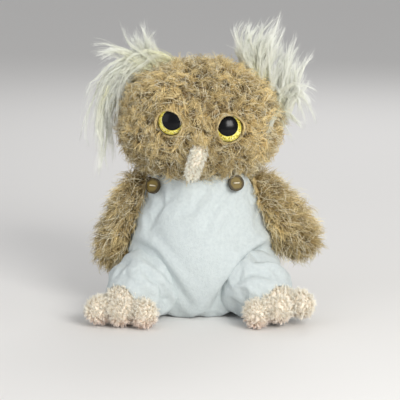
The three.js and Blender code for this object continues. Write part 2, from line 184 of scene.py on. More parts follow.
def torso_surface(turn, place, growth=0):
    """The torso's outer form: its profile, carried round a rounded square, grown evenly by a distance."""
    across, up = along_profile(torso_profile_shares, place, profile_round_off_share)
    radius = across * torso_half[0] + growth * np.minimum(1, across / 0.3)
    height = torso_low[2] - growth + up * (2 * torso_half[2] + 2 * growth)
    cosine, sine = rounded(turn, torso_squareness)
    depth_share = torso_half[1] / torso_half[0]
    return np.stack([radius * cosine, radius * sine * depth_share, height + 0 * cosine], -1)


def ring_body(name, rings, ends):
    """A closed body from rings of points, as an array (ring, place round, 3): four-sided faces join each
    ring to the next, and a fan of triangles closes each end on its own point."""
    count, sides = rings.shape[:2]
    around = np.arange(sides)
    following = (around + 1) % sides
    first = np.arange(count - 1)[:, None] * sides
    corners = (around, following, sides + following, sides + around)
    quads = np.stack([first + corner for corner in corners], -1)
    last = (count - 1) * sides
    low, high = np.full(sides, count * sides), np.full(sides, count * sides + 1)
    fans = [np.stack([following, around, low], -1), np.stack([last + around, last + following, high], -1)]
    points = np.concatenate([rings.reshape(-1, 3), ends])
    return mesh_object(name, points, [quads.reshape(-1, 4), np.concatenate(fans)])


def grid_form(name, surface, round_steps, long_steps):
    """A closed body from a surface of turn and place: rings of points round its axis, and a point at each
    pole."""
    turn = np.arange(round_steps) / round_steps
    place = np.linspace(0, 1, long_steps + 1)
    rings = surface(*np.meshgrid(turn, place[1:-1]))
    return ring_body(name, rings, surface(np.zeros(2), place[[0, -1]]))


def outward_at(surface, turn, place):
    """The unit direction out of a surface: the cross product of its slopes along place and round by
    turn."""
    step = 1e-4
    place = np.clip(place, 2 * step, 1 - 2 * step)
    round_slope = surface(turn + step, place) - surface(turn - step, place)
    long_slope = surface(turn, place + step) - surface(turn, place - step)
    return unit(np.cross(round_slope, long_slope))


def unit(vectors):
    """Vectors with their length made 1."""
    return vectors / np.maximum(np.linalg.norm(vectors, axis=-1, keepdims=True), 1e-12)


def spread_over(surface, count, rng, jitter_share=0.6):
    """Even places on a closed surface, about count of them, each with its outward direction. Rows come
    from the running sum of the surface's area along place, and turns from steps of the golden ratio."""
    turn, place = np.meshgrid(np.linspace(0, 1, 65)[:-1], np.linspace(0, 1, 129))
    points = surface(turn, place)
    widths = np.linalg.norm(np.roll(points, -1, 1) - points, axis=-1)
    heights = np.linalg.norm(np.diff(points, axis=0), axis=-1)
    area = ((widths[1:] + widths[:-1]) / 2 * heights).sum(1)
    running = np.concatenate([[0], np.cumsum(area)]) / area.sum()
    order = (np.arange(count) + 0.5 + jitter_share * rng.uniform(-1, 1, count)) / count
    rows = np.interp(np.clip(order, 0, 1), running, np.linspace(0, 1, 129))
    golden = (math.sqrt(5) - 1) / 2
    turns = (np.arange(count) * golden + jitter_share * rng.uniform(-1, 1, count) / math.sqrt(count)) % 1
    return surface(turns, rows), outward_at(surface, turns, rows)


def across_surface(direction, outward):
    """The part of a direction that lies along the surface, made a unit vector."""
    return unit(direction - (direction * outward).sum(-1, keepdims=True) * outward)


def strand_lines(root, outward, comb, length, lean, curl, turns, phase, offset, gather, steps):
    """Centre lines of strands, as an array (strand, place, 3). A strand sets out from its root at the
    first lean angle from outward and ends at the second, towards comb. It winds round that line at a
    radius that grows to curl, and its offset from the middle of its lock shrinks by gather at its tip."""
    place = np.linspace(0, 1, steps)
    angle = lean[0][:, None] + (lean[1] - lean[0])[:, None] * place
    heading = np.cos(angle)[..., None] * outward[:, None] + np.sin(angle)[..., None] * comb[:, None]
    stride = length[:, None, None] / (steps - 1)
    walked = np.concatenate([np.zeros((len(root), 1, 3)), np.cumsum(heading[:, :-1], 1)], 1)
    side = np.cross(outward, comb)[:, None]
    wound = 2 * math.pi * turns[:, None] * place + phase[:, None]
    radius = curl[:, None] * (1 - np.exp(-3 * place))
    winding = np.cos(wound)[..., None] * side + np.sin(wound)[..., None] * np.cross(side, heading)
    start = np.cos(phase)[:, None, None] * side + np.sin(phase)[:, None, None] * np.cross(side, heading)
    line = root[:, None] + stride * walked + radius[..., None] * (winding - 0.5 * start)
    return line + offset[:, None] * (1 - gather[:, None] * place**1.3)[..., None]


def strand_tubes(name, line, radius, tone):
    """Closed tubes with three sides along lines of shape (strand, place, 3). A tube keeps its radius for
    half its length, narrows towards the tip and ends in a point. Its map runs across by tone and up to
    the tip."""
    count, steps, _ = line.shape
    heading = unit(np.gradient(line, axis=1))
    first = np.cross(heading, np.roll(unit(line[:, -1] - line[:, 0]), 1, axis=-1)[:, None])
    first = unit(first)
    second = np.cross(heading, first)
    place = np.linspace(0, 1, steps)[:-1]
    thick = radius[:, None] * (1 - 0.8 * place**2.5)
    angles = 2 * math.pi * np.arange(3) / 3
    ring = np.cos(angles)[:, None] * first[:, :-1, None] + np.sin(angles)[:, None] * second[:, :-1, None]
    sides = line[:, :-1, None] + thick[..., None, None] * ring
    points = np.concatenate([sides.reshape(count, -1, 3), line[:, -1:]], 1)
    rings, tip = steps - 1, 3 * (steps - 1)
    corner = np.arange(3)
    following = (corner + 1) % 3
    level = 3 * np.arange(rings - 1)[:, None]
    quads = np.stack([level + corner, level + following, level + 3 + following, level + 3 + corner], -1)
    top = np.stack([tip - 3 + corner, tip - 3 + following, np.full(3, tip)], -1)
    caps = np.concatenate([top, [[2, 1, 0]]])
    base = (np.arange(count) * (tip + 1))[:, None, None]
    made = mesh_object(name, points.reshape(-1, 3), [(base + quads.reshape(-1, 4)).reshape(-1, 4),
                                                     (base + caps).reshape(-1, 3)])
    width = 0.002
    low = np.repeat(np.arange(rings - 1), 3) / rings
    left = np.tile(corner, rings - 1) * width
    quad_map = np.stack([np.stack([left, low], -1), np.stack([left + width, low], -1),
                         np.stack([left + width, low + 1 / rings], -1),
                         np.stack([left, low + 1 / rings], -1)], 1)
    top_map = np.stack([np.stack([corner * width, np.full(3, 1 - 1 / rings)], -1),
                        np.stack([corner * width + width, np.full(3, 1 - 1 / rings)], -1),
                        np.stack([corner * width + width / 2, np.ones(3)], -1)], 1)
    cap_map = np.concatenate([top_map, [[(2 * width, 0), (width, 0), (width, width)]]])
    shift = np.stack([0.005 + 0.98 * np.clip(tone, 0, 1), 0 * tone], -1)[:, None, None]
    on_map = np.concatenate([(shift + quad_map).reshape(-1, 2), (shift + cap_map).reshape(-1, 2)])
    layer = made.data.uv_layers.new(name="OFBake")
    layer.uv.foreach_set("vector", np.clip(on_map, 0.001, 0.999).astype(np.float32).ravel())
    return made


def soft_noise(points, size, seed):
    """A smooth random value from about -1 to 1 at each point: the mean of eight waves of about that size
    that run in random directions."""
    rng = np.random.default_rng(seed)
    ways = unit(rng.normal(size=(8, 3))) * (2 * math.pi / size) * rng.uniform(0.6, 1.5, (8, 1))
    return np.sin(points @ ways.T + rng.uniform(0, 2 * math.pi, 8)).sum(-1) / 4


def shader_group(name, given, made):
    """A shader group with named inputs and outputs, each of its own kind, and its input and output
    nodes."""
    group = bpy.data.node_groups.new(name, "ShaderNodeTree")
    for sockets, way in ((given, "INPUT"), (made, "OUTPUT")):
        for socket, kind in sockets.items():
            group.interface.new_socket(socket, in_out=way, socket_type=f"NodeSocket{kind}")
    return group, group.nodes.new("NodeGroupInput"), group.nodes.new("NodeGroupOutput")


def strand_colours():
    """A shader group that colours a strand by its own map: from root to middle to tip along it, and
    darker or lighter by its tone across. A darker root colour is partly painted shade deep in the pile."""
    colours = dict.fromkeys(("Root", "Middle", "Tip", "Dark", "Light"), "Color")
    group, given, out = shader_group("strand_colours", colours, {"Colour": "Color"})
    own_map, split, to_middle, to_tip, lower, whole, tone, toned = new_nodes(
        group, "UVMap", "SeparateXYZ", "MapRange", "MapRange", "Mix", "Mix", "Mix", "Mix")
    own_map.uv_map = "OFBake"
    for ranged, start, end in ((to_middle, 0, 0.45), (to_tip, 0.4, 1)):
        ranged.interpolation_type = "SMOOTHSTEP"
        ranged.inputs["From Min"].default_value = start
        ranged.inputs["From Max"].default_value = end
        join(group, (split, "Y", ranged, "Value"))
    toned.blend_type = "MULTIPLY"
    toned.inputs["Factor"].default_value = 1
    join(group, (own_map, "UV", split, 0), (split, "X", tone, "Factor"),
         (to_middle, "Result", lower, "Factor"),
         (given, "Root", lower, "A"), (given, "Middle", lower, "B"), (to_tip, "Result", whole, "Factor"),
         (lower, "Result", whole, "A"), (given, "Tip", whole, "B"), (given, "Dark", tone, "A"),
         (given, "Light", tone, "B"), (whole, "Result", toned, "A"), (tone, "Result", toned, "B"),
         (toned, "Result", out, "Colour"))
    return group


strand_group = strand_colours()


def strand_material(name, root, middle, tip, dark, light, roughness=0.75):
    """A pile material: the strand colours on a rough shader."""
    made = new_material(name, middle, roughness, Specular_IOR_Level=0.3)
    group = made.node_tree.nodes.new("ShaderNodeGroup")
    group.node_tree = strand_group
    colours = {"Root": root, "Middle": middle, "Tip": tip, "Dark": dark, "Light": light}
    for socket, colour in colours.items():
        group.inputs[socket].default_value = (*colour, 1)
    join(made.node_tree, (group, "Colour", made.node_tree.nodes["Principled BSDF"], "Base Color"))
    return made


# the tan pile's dark root colour is partly its own darker base and partly painted shade deep in the pile
fur_material = strand_material(
    "tan_pile", root=(0.29, 0.2, 0.08), middle=(0.76, 0.575, 0.27), tip=(1, 0.84, 0.49),
    dark=(0.48, 0.46, 0.43), light=(1.2, 1.21, 1.18),
)
straw_material = strand_material(
    "straw_tips", root=(0.62, 0.5, 0.27), middle=(0.97, 0.88, 0.62), tip=(1, 0.98, 0.84),
    dark=(0.9, 0.88, 0.82), light=(1, 1, 1), roughness=0.4,
)


def locks_of_pile(surface, count, each, seed, comb_of, keep, **sizes):
    """Strand lines and tones for a pile that lies in locks: count locks of each strands, whose roots are
    spread evenly over the surface. Keep says which roots stay, and comb_of where each lock points. The
    sizes are those of locks_at."""
    rng = np.random.default_rng(seed)
    root, outward = spread_over(surface, count, rng)
    kept = keep(root, outward)
    root, outward = root[kept], outward[kept]
    comb = across_surface(comb_of(root, outward, rng), outward)
    return locks_at(root, outward, comb, each, rng, seed, **sizes)


def locks_at(root, outward, comb, each, rng, seed, length, lean, curl, turns, spread, gather, steps):
    """Strand lines and tones for locks with given roots, outward directions and comb directions. The
    strands of a lock share a length, two leans, a curl, its turns and a tone, each drawn between the two
    values of its pair; they start within spread of the root and gather by a share at the tip."""
    locks = len(root)

    def between(pair):
        return pair[0] + (pair[1] - pair[0]) * rng.uniform(0, 1, locks)

    own = [between(length), between(curl), between(turns), rng.uniform(0, 2 * math.pi, locks)]
    leans = [between(lean[0]), between(lean[1])]
    lock_tone = 0.52 + 0.24 * soft_noise(root, 26 * mm, seed) + 0.22 * rng.normal(size=locks)

    def shared(values):
        return np.repeat(values, each, axis=0)

    strands = locks * each
    size, curls, wound, phase = (shared(values) for values in own)
    place = np.sqrt(rng.uniform(0, 1, strands)) * spread
    around = rng.uniform(0, 2 * math.pi, strands)
    side = np.cross(outward, comb)
    offset = (place * np.cos(around))[:, None] * shared(comb)
    offset += (place * np.sin(around))[:, None] * shared(side)
    line = strand_lines(
        shared(root), shared(outward), shared(comb), size * rng.uniform(0.7, 1.1, strands),
        [shared(leans[0]) + 0.12 * rng.normal(size=strands),
         shared(leans[1]) + 0.25 * rng.normal(size=strands)],
        curls * rng.uniform(0.6, 1.3, strands), wound * rng.uniform(0.85, 1.15, strands),
        phase + 0.5 * rng.normal(size=strands), offset, rng.uniform(*gather, strands), steps,
    )
    tone = shared(lock_tone) + 0.12 * rng.normal(size=strands)
    return line, tone


def grown_pile(names, body, material, line, tone, radius, seed=1):
    """Makes the strands into pieces of about equal size that ride on a body."""
    rng = np.random.default_rng(seed)
    thick = radius * rng.uniform(0.7, 1.2, len(line))
    made = []
    for name, chosen in zip(names, np.array_split(np.arange(len(line)), len(names))):
        piece = strand_tubes(name, line[chosen], thick[chosen], tone[chosen])
        piece.data.materials.append(material)
        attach(piece, body)
        made.append(piece)
    return made


bib_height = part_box("overalls")[1][2]
waist_height = 68 * mm
neck_height = 112 * mm


def overalls_edge(turn):
    """Height of the top edge of the overalls: the bib in front, the waist behind, and an armhole
    between."""
    front = np.clip((-np.sin(2 * math.pi * turn) - 0.05) / 0.45, 0, 1)
    return waist_height + (bib_height - waist_height) * front**2 * (3 - 2 * front)


def over_edge(points):
    """How far points lie above the overalls' top edge, which may be less than nothing."""
    return points[..., 2] - overalls_edge(np.arctan2(points[..., 1], points[..., 0]) / (2 * math.pi))


def torso_comb(root, outward, rng):
    """The pile falls down the body, and each lock strays from that."""
    return np.array([0, 0.1, -1]) + 0.8 * rng.normal(size=root.shape)


def above_overalls(root, outward):
    """Roots between the overalls' edge and the neck, which the head covers."""
    return (over_edge(root) > 0.5 * mm) & (root[:, 2] < neck_height)


def skin_of_torso(turn, place):
    """The backing that the pile grows from: the outer form, sunk by the pile's depth."""
    return torso_surface(turn, place, -torso_pile_depth)


line, tone = locks_of_pile(
    skin_of_torso, count=1100, each=11, seed=5, comb_of=torso_comb, keep=above_overalls,
    length=(10 * mm, 15 * mm), lean=((0.4, 0.9), (1.3, 2.2)), curl=(0.8 * mm, 2.4 * mm), turns=(0.5, 1.8),
    spread=2.8 * mm, gather=(0, 0.6), steps=6,
)
grown_pile(["torso_pile"], "torso", fur_material, line, tone, 0.28 * mm)


def mottle():
    """A shader group that stirs a plain colour: noise picks between a share of the colour and the whole
    of it, and is given out as a height too."""
    group, given, out = shader_group(
        "mottle", {"Colour": "Color", "Shade": "Color", "Scale": "Float"},
        {"Colour": "Color", "Height": "Float"})
    place, noise, ranged, mix = new_nodes(group, "TexCoord", "TexNoise", "MapRange", "Mix")
    noise.inputs["Detail"].default_value = 3
    ranged.inputs["From Min"].default_value = 0.35
    ranged.inputs["From Max"].default_value = 0.65
    join(group, (place, "Object", noise, "Vector"), (given, "Scale", noise, "Scale"),
         (noise, "Fac", ranged, "Value"),
         (ranged, "Result", mix, "Factor"), (given, "Shade", mix, "A"), (given, "Colour", mix, "B"),
         (mix, "Result", out, "Colour"), (noise, "Fac", out, "Height"))
    return group


mottle_group = mottle()


def mottled(name, colour, roughness, scale, least_share, relief):
    """A plain material stirred by mottle: noise of that scale takes its colour down to a share of itself
    and raises the surface by up to the relief."""
    made = new_material(name, colour, roughness)
    tree, shader = made.node_tree, made.node_tree.nodes["Principled BSDF"]
    group, bump = new_nodes(tree, "Group", "Bump")
    group.node_tree = mottle_group
    group.inputs["Colour"].default_value = (*colour, 1)
    group.inputs["Shade"].default_value = (*(least_share * channel for channel in colour), 1)
    group.inputs["Scale"].default_value = scale
    bump.inputs["Distance"].default_value = relief
    join(tree, (group, "Colour", shader, "Base Color"), (group, "Height", bump, "Height"),
         (bump, "Normal", shader, "Normal"))
    return made


skin_material = mottled("tan_backing", (0.48, 0.355, 0.18), 0.95, 900, 0.7, 0.5 * mm)
torso_skin = grid_form("torso_skin", skin_of_torso, 96, 64)
torso_skin.data.materials.append(skin_material)
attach(torso_skin, "torso")
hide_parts("torso")

# Overalls
# One bag of white short-nap fleece from the seat up to the bib, blown out by the stuffed body inside it,
# with a turned and stitched hem along its top edge. The buttons and straps hold it up.
overalls_growth = 1.2 * mm
fleece_thickness = 2.5 * mm
edge_place, inside_place = 0.86, 0.91
hem_width = 5 * mm
hem_rise = 0.5 * mm
stitch_depth = 0.7 * mm
pucker_depth = 0.25 * mm
edge_rise = 0.8 * mm
closing_point = np.array([0, 0, 45 * mm])
belly_creases = [
    # a path of places, how wide and how deep: where the belly meets each thigh, and the roll above the
    # right thigh
    ([(54, 4, 40), (52, -20, 44), (40, -38, 40), (27, -47, 28), (18, -49, 15), (12, -48, 4)], 6, 9),
    ([(-54, 4, 36), (-52, -20, 38), (-40, -36, 37), (-29, -46, 27), (-20, -49, 14), (-14, -48, 4)], 5.5, 8),
    ([(-52, -10, 50), (-36, -38, 49), (-25, -44, 39), (-16, -48, 26), (-8, -48, 12)], 4, 4.5),
    # slack folds that hang from the buttons
    ([(27, -27, 98), (20, -34, 90), (11, -39, 80), (5, -43, 68)], 4.5, 1.5),
    ([(-31, -25, 94), (-29, -30, 85), (-31, -32, 75), (-36, -31, 65)], 4.5, 1.3),
    ([(35, -20, 95), (38, -22, 84), (41, -20, 74), (42, -22, 62)], 4, 1.2),
]
overalls_puffs = [
    # middle, spread and height of each place where the cloth stands off the body
    ((50, -12, 42), (14, 22, 14), 7.5), ((-49, -10, 40), (12, 22, 14), 3.5), ((4, -44, 44), (34, 20, 24), 3),
]


def spline(points, place):
    """A smooth curve through points, at places from 0 to 1 (Catmull-Rom, with the end points carried
    on)."""
    points = np.concatenate([2 * points[:1] - points[1:2], points, 2 * points[-1:] - points[-2:-1]])
    run = np.clip(place, 0, 1) * (len(points) - 3)
    first = np.minimum(run.astype(int), len(points) - 4)
    part = (run - first)[..., None]
    before, start, end, after = (points[first + step] for step in range(4))
    return 0.5 * (2 * start + (end - before) * part + (2 * before - 5 * start + 4 * end - after) * part**2 +
                  (3 * start - before - 3 * end + after) * part**3)


def creased(points, creases):
    """How deep the cloth is pressed in at each point: a rounded valley along each crease's smooth path,
    with a low ridge beside it."""
    depth = 0
    for path, width, deep in creases:
        run = spline(np.array(path) * mm, np.linspace(0, 1, 40))
        apart = np.linalg.norm(points[..., None, :] - run, axis=-1).min(-1) / (width * mm)
        depth = depth + deep * mm * (np.exp(-(apart**2)) - 0.25 * np.exp(-((apart - 1.9) ** 2)))
    return depth


def overalls_surface(turn, place):
    """The cloth's outside from the seat to the top edge, for place up to edge_place, then over the edge
    up to inside_place, and down inside the body to its closing point."""
    edge = overalls_edge(turn)
    run = np.linspace(0, 1, 400)
    ups = along_profile(torso_profile_shares, run, profile_round_off_share)[1]
    heights = torso_low[2] - overalls_growth + ups * (2 * torso_half[2] + 2 * overalls_growth)
    climb = np.minimum(place / edge_place, 1)
    points = torso_surface(turn, np.interp(edge, heights, run) * climb, overalls_growth)
    outward = unit(points - torso_middle)
    for middle, spread, rise in overalls_puffs:
        apart = (((points - np.array(middle) * mm) / (np.array(spread) * mm)) ** 2).sum(-1)
        points = points + (rise * mm * np.exp(-apart))[..., None] * outward
    points = points - creased(points, belly_creases)[..., None] * outward
    below_edge = edge - points[..., 2]
    hem = hem_rise / (1 + np.exp((below_edge - hem_width) / (0.4 * mm)))
    stitch = stitch_depth * np.exp(-(((below_edge - hem_width) / (0.7 * mm)) ** 2))
    level = unit(points * (1, 1, 0))
    pucker = pucker_depth * (np.cos(2 * math.pi * 41 * turn) + np.cos(2 * math.pi * 27 * turn + 1))
    pucker = pucker * np.exp(-np.abs(below_edge - 1.4 * hem_width) / (1.2 * hem_width))
    points = points + ((hem - stitch + pucker) * (climb > 0.3))[..., None] * level
    roll = math.pi * np.clip((place - edge_place) / (inside_place - edge_place), 0, 1)
    points = points - (fleece_thickness / 2 * (1 - np.cos(roll)))[..., None] * level
    points = points + np.stack([0 * roll, 0 * roll, edge_rise * np.sin(roll)], -1)
    down = np.clip((place - inside_place) / (1 - inside_place), 0, 1)[..., None]
    return points + down * (closing_point - points)


def cloth_of(piece, held, pressure, looseness, cap):
    """Blows a closed piece up as loose cloth for twenty frames, then lets no point lie further than cap
    from where it started. Held points stay."""
    scene = bpy.context.scene
    start = np.empty(3 * len(piece.data.vertices))
    piece.data.vertices.foreach_get("co", start)
    group = piece.vertex_groups.new(name="held")
    group.add(np.flatnonzero(held).tolist(), 1, "REPLACE")
    cloth = piece.modifiers.new("cloth", "CLOTH")
    cloth.settings.quality = 8
    cloth.settings.mass = 0.01
    cloth.settings.tension_stiffness = cloth.settings.compression_stiffness = 15
    cloth.settings.shear_stiffness = 5
    cloth.settings.bending_stiffness = 0.05
    cloth.settings.vertex_group_mass = "held"
    cloth.settings.use_pressure = True
    cloth.settings.uniform_pressure_force = pressure
    cloth.settings.shrink_min = -looseness
    cloth.settings.effector_weights.gravity = 0
    cloth.collision_settings.use_collision = False
    for frame_number in range(1, 21):
        scene.frame_set(frame_number)
    blown = np.empty_like(start)
    piece.evaluated_get(bpy.context.evaluated_depsgraph_get()).data.vertices.foreach_get("co", blown)
    moved = (blown - start).reshape(-1, 3)
    far = np.linalg.norm(moved, axis=1, keepdims=True)
    moved *= cap * np.tanh(far / cap) / np.maximum(far, 1e-9)
    piece.modifiers.remove(cloth)
    piece.vertex_groups.remove(group)
    scene.frame_set(1)
    ended = start.reshape(-1, 3) + moved
    ended[:, 2] = np.maximum(ended[:, 2], 0.3 * mm)
    piece.data.vertices.foreach_set("co", ended.ravel())
    piece.data.update()


def finer(piece):
    """One live subdivision, the same in the view as in the render."""
    smooth = piece.modifiers.new("finer", "SUBSURF")
    smooth.levels = smooth.render_levels = 1


def points_of(piece):
    """A piece's mesh points as an array."""
    points = np.empty(3 * len(piece.data.vertices))
    piece.data.vertices.foreach_get("co", points)
    return points.reshape(-1, 3)


def fleece_nap():
    """A shader group for short nap: a colour mottled by clumps, and a height of clumps with fine matted
    fibres on them."""
    group, given, out = shader_group(
        "fleece_nap", {"Pale": "Color", "Shade": "Color"}, {"Colour": "Color", "Height": "Float"})
    place, clumps, fibres, ranged, mix, height = new_nodes(
        group, "TexCoord", "TexNoise", "TexNoise", "MapRange", "Mix", "Math")
    for noise, scale, detail in ((clumps, 420, 5), (fibres, 1500, 3)):
        noise.inputs["Scale"].default_value = scale
        noise.inputs["Detail"].default_value = detail
        join(group, (place, "Object", noise, "Vector"))
    ranged.inputs["From Min"].default_value = 0.35
    ranged.inputs["From Max"].default_value = 0.6
    height.operation = "MULTIPLY_ADD"
    height.inputs[1].default_value = 0.6
    join(group, (clumps, "Fac", ranged, "Value"), (ranged, "Result", mix, "Factor"),
         (given, "Shade", mix, "A"),
         (given, "Pale", mix, "B"), (mix, "Result", out, "Colour"), (clumps, "Fac", height, 0),
         (fibres, "Fac", height, 2), (height, 0, out, "Height"))
    return group


fleece_pale, fleece_shade = (0.585, 0.64, 0.645), (0.54, 0.595, 0.605)
fleece_material = new_material("white_fleece", fleece_pale, 0.95, Sheen_Weight=0.15, Specular_IOR_Level=0.15)
nap, nap_bump = new_nodes(fleece_material.node_tree, "Group", "Bump")
nap.node_tree = fleece_nap()
nap.inputs["Pale"].default_value = (*fleece_pale, 1)
nap.inputs["Shade"].default_value = (*fleece_shade, 1)
nap_bump.inputs["Strength"].default_value = 0.8
nap_bump.inputs["Distance"].default_value = 0.7 * mm
fleece_shader = fleece_material.node_tree.nodes["Principled BSDF"]
join(fleece_material.node_tree, (nap, "Colour", fleece_shader, "Base Color"),
     (nap, "Height", nap_bump, "Height"),
     (nap_bump, "Normal", fleece_shader, "Normal"))

overalls = grid_form("overalls_cloth", overalls_surface, 128, 96)
cloth_points = points_of(overalls)
near_edge = over_edge(cloth_points) > -7 * mm
from_axis = np.linalg.norm((cloth_points - torso_middle)[:, :2] / torso_half[:2], axis=1)
inner = (from_axis < 0.6) & (cloth_points[:, 2] > 20 * mm)
cloth_of(overalls, near_edge | inner, pressure=4, looseness=0.05, cap=2.6 * mm)
finer(overalls)
overalls.data.materials.append(fleece_material)
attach(overalls, "torso")
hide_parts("overalls")

stitch_count = 96
stitch_share = 0.55
stitch_radius, stitch_height = 0.3 * mm, 0.45 * mm
stitch_turn = (np.arange(stitch_count)[:, None] + stitch_share * np.linspace(-0.5, 0.5, 5)) / stitch_count
stitch_runs = np.linspace(0.5, edge_place, 240)
hem_points = overalls_surface(*np.broadcast_arrays(stitch_turn[..., None], stitch_runs))
from_stitch = np.abs(overalls_edge(stitch_turn)[..., None] - hem_width - hem_points[..., 2])
stitch_places = stitch_runs[from_stitch.argmin(-1)]
stitch_rise = stitch_height * np.array([-1, 0.8, 1, 0.8, -1])
stitch_line = overalls_surface(stitch_turn, stitch_places)
stitch_line += outward_at(overalls_surface, stitch_turn, stitch_places) * stitch_rise[:, None]
stitch_thick, stitch_tone = np.full(stitch_count, stitch_radius), np.full(stitch_count, 0.5)
hem_stitches = strand_tubes("hem_stitches", stitch_line, stitch_thick, stitch_tone)
hem_stitches.data.materials.append(mottled("white_thread", (0.77, 0.77, 0.74), 0.8, 2500, 0.85, 0.1 * mm))
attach(hem_stitches, "torso")

# Straps
# A flat strip of the same fleece, folded and stitched along both sides. It is sewn under the bib's
# corner, buttoned there, and runs over the shoulder to the back of the waist.
strap_thickness = 2.5 * mm
strap_gap = 0.6 * mm
strap_low_end = 6 * mm
strap_tuck_start, strap_tuck_run, strap_tuck_depth = 9 * mm, 9 * mm, 4.8 * mm
strap_sides, strap_steps = 12, 60


def strap_outline(apart, grown, low_end):
    """The torso's outline from its neck down to a low end, in a plane at a distance apart from its middle
    and grown by a distance: rows of depth and height."""
    places = np.linspace(0.4, 1, 3000)
    shares, ups = along_profile(torso_profile_shares, places, profile_round_off_share)
    above_bib = torso_low[2] + ups * 2 * torso_half[2] - bib_height
    tucked = np.clip((strap_tuck_start - above_bib) / strap_tuck_run, 0, 1)
    if low_end > waist_height:
        grown = grown - strap_tuck_depth * tucked**2 * (3 - 2 * tucked)
    height = torso_low[2] - grown + ups * (2 * torso_half[2] + 2 * grown)
    radius = shares * torso_half[0] + grown
    kept = (radius > apart) & (height > low_end)
    power = 2 / torso_squareness
    reach = (np.maximum(radius, apart) ** power - apart**power) ** (1 / power) * torso_half[1] / torso_half[0]
    return np.stack([reach, height], -1)[kept]


for side in ("left", "right"):
    low, high = (np.array(corner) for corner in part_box(f"{side}_strap"))
    middle, half = (low[0] + high[0]) / 2, (high[0] - low[0]) / 2
    rows = []
    for angle in 2 * math.pi * np.arange(strap_sides) / strap_sides:
        # a flattened ring, from one side of the strip to the other and back
        across = middle + half * np.sign(np.cos(angle)) * np.abs(np.cos(angle)) ** 0.35
        grown = strap_gap + strap_thickness / 2 * (1 + np.sin(angle))
        front = strap_outline(abs(across), grown, bib_height - strap_low_end)
        back = strap_outline(abs(across), grown, waist_height - strap_low_end)
        path = np.concatenate([front * (-1, 1), back[::-1]])
        walked = np.concatenate([[0], np.cumsum(np.linalg.norm(np.diff(path, axis=0), axis=1))])
        places = np.linspace(0, walked[-1], strap_steps)
        depth, height = (np.interp(places, walked, line) for line in path.T)
        rows.append(np.stack([np.full(strap_steps, across), depth, height], -1))
    ring = np.stack(rows, 1)
    strap = ring_body(f"{side}_strap_strip", ring[:, ::-1], ring[[0, -1]].mean(1))
    strap.data.materials.append(fleece_material)
    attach(strap, "torso")
    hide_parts(f"{side}_strap")

# Buttons
# Two-hole buttons of brown horn look with a darker rim, each sewn on by one loop of pale thread. The
# frame's own solids are kept for both, and only get their materials.
button_rim_colour, button_middle_colour = (0.045, 0.03, 0.008), (0.18, 0.128, 0.03)


def horn_material(name, middle, radius):
    """Mottled brown horn that darkens from a button's middle to its rim: the colour follows the distance
    from the middle, stirred by a streaky noise."""
    made = new_material(name, button_middle_colour, 0.4, Specular_IOR_Level=0.25)
    tree, shader = made.node_tree, made.node_tree.nodes["Principled BSDF"]
    place, apart, streaks, stirred, share, mix = new_nodes(
        tree, "TexCoord", "VectorMath", "TexNoise", "Math", "MapRange", "Mix")
    apart.operation = "DISTANCE"
    apart.inputs[1].default_value = tuple(middle)
    streaks.inputs["Scale"].default_value = 420
    streaks.inputs["Detail"].default_value = 4
    stirred.operation = "MULTIPLY_ADD"
    stirred.inputs[1].default_value = 0.6 * radius
    share.inputs["From Min"].default_value = 0.95 * radius
    share.inputs["From Max"].default_value = 1.15 * radius
    mix.inputs["A"].default_value = (*button_middle_colour, 1)
    mix.inputs["B"].default_value = (*button_rim_colour, 1)
    join(tree, (place, "Object", apart, 0), (place, "Object", streaks, "Vector"),
         (streaks, "Fac", stirred, 0),
         (apart, "Value", stirred, 2), (stirred, 0, share, "Value"), (share, "Result", mix, "Factor"),
         (mix, "Result", shader, "Base Color"))
    return made


thread_material = mottled("pale_thread", (0.74, 0.66, 0.49), 0.85, 3000, 0.75, 0.15 * mm)
for side in ("left", "right"):
    low, high = (np.array(corner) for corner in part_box(f"{side}_button"))
    horn = horn_material(f"{side}_brown_horn", (low + high) / 2, (high[2] - low[2]) / 2)
    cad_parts[f"{side}_button"].data.materials[0] = horn
    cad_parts[f"{side}_button_thread"].data.materials[0] = thread_material

# Head
# A wide stuffed ball of the same tan pile, twice as shaggy: its skin lies inside the outer surface of the
# pile, which the frame's head gives. The eyes press the pile back, and it hangs over the neck.
head_low, head_high = (np.array(corner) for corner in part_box("head"))
head_half = np.array([(head_high[0] - head_low[0]) / 2 - 1.8 * mm, (head_high[1] - head_low[1]) / 2, 43 * mm])
head_middle = np.array([0, (head_high[1] + head_low[1]) / 2, head_high[2] - head_half[2]])
head_squareness = 0.9
head_pile_depth = 4.5 * mm
eye_radius = 9.75 * mm
eye_sink = 3 * mm
eye_turn, eye_lift = math.radians(13), math.radians(4)
pupil_radius = 7.3 * mm
eye_shown = {"left": (0.75, 0, -0.7), "right": (-0.5, 0, -0.85)}
eye_cover = {"left": 0.8 * mm, "right": 3.4 * mm}
pupil_shift = {"left": (-1.1 * mm, 1.8 * mm), "right": (1.2 * mm, 1.1 * mm)}
dome_height = 5 * mm
eye_rim = 1.2 * mm
# where the painted shade over the owl's right cheek is deepest, and how far it spreads
painted_shade_place, painted_shade_spread = np.array([-27, -50, 117]) * mm, np.array([27, 60, 19]) * mm


def dome_rise(radius):
    """How far an eye's dome rises from its seat at a distance from its axis: a rim, then a quarter
    ellipse."""
    return eye_rim + dome_height * np.sqrt(np.maximum(0, 1 - (radius / eye_radius) ** 2))


def skin_of_head(turn, place):
    """The backing under the head's pile: an ellipsoid that is a little squared along its height, with its
    poles on Z, sunk by the pile's depth."""
    rise = math.pi * (place - 0.5)
    across = np.abs(np.cos(rise)) ** head_squareness * (place * (1 - place) > 1e-12)
    up = np.sign(rise) * np.abs(np.sin(rise)) ** head_squareness
    angle = 2 * math.pi * turn
    half = head_half - head_pile_depth
    return head_middle + np.stack([across * np.cos(angle) * half[0], across * np.sin(angle) * half[1],
                                   up * half[2] + 0 * angle], -1)


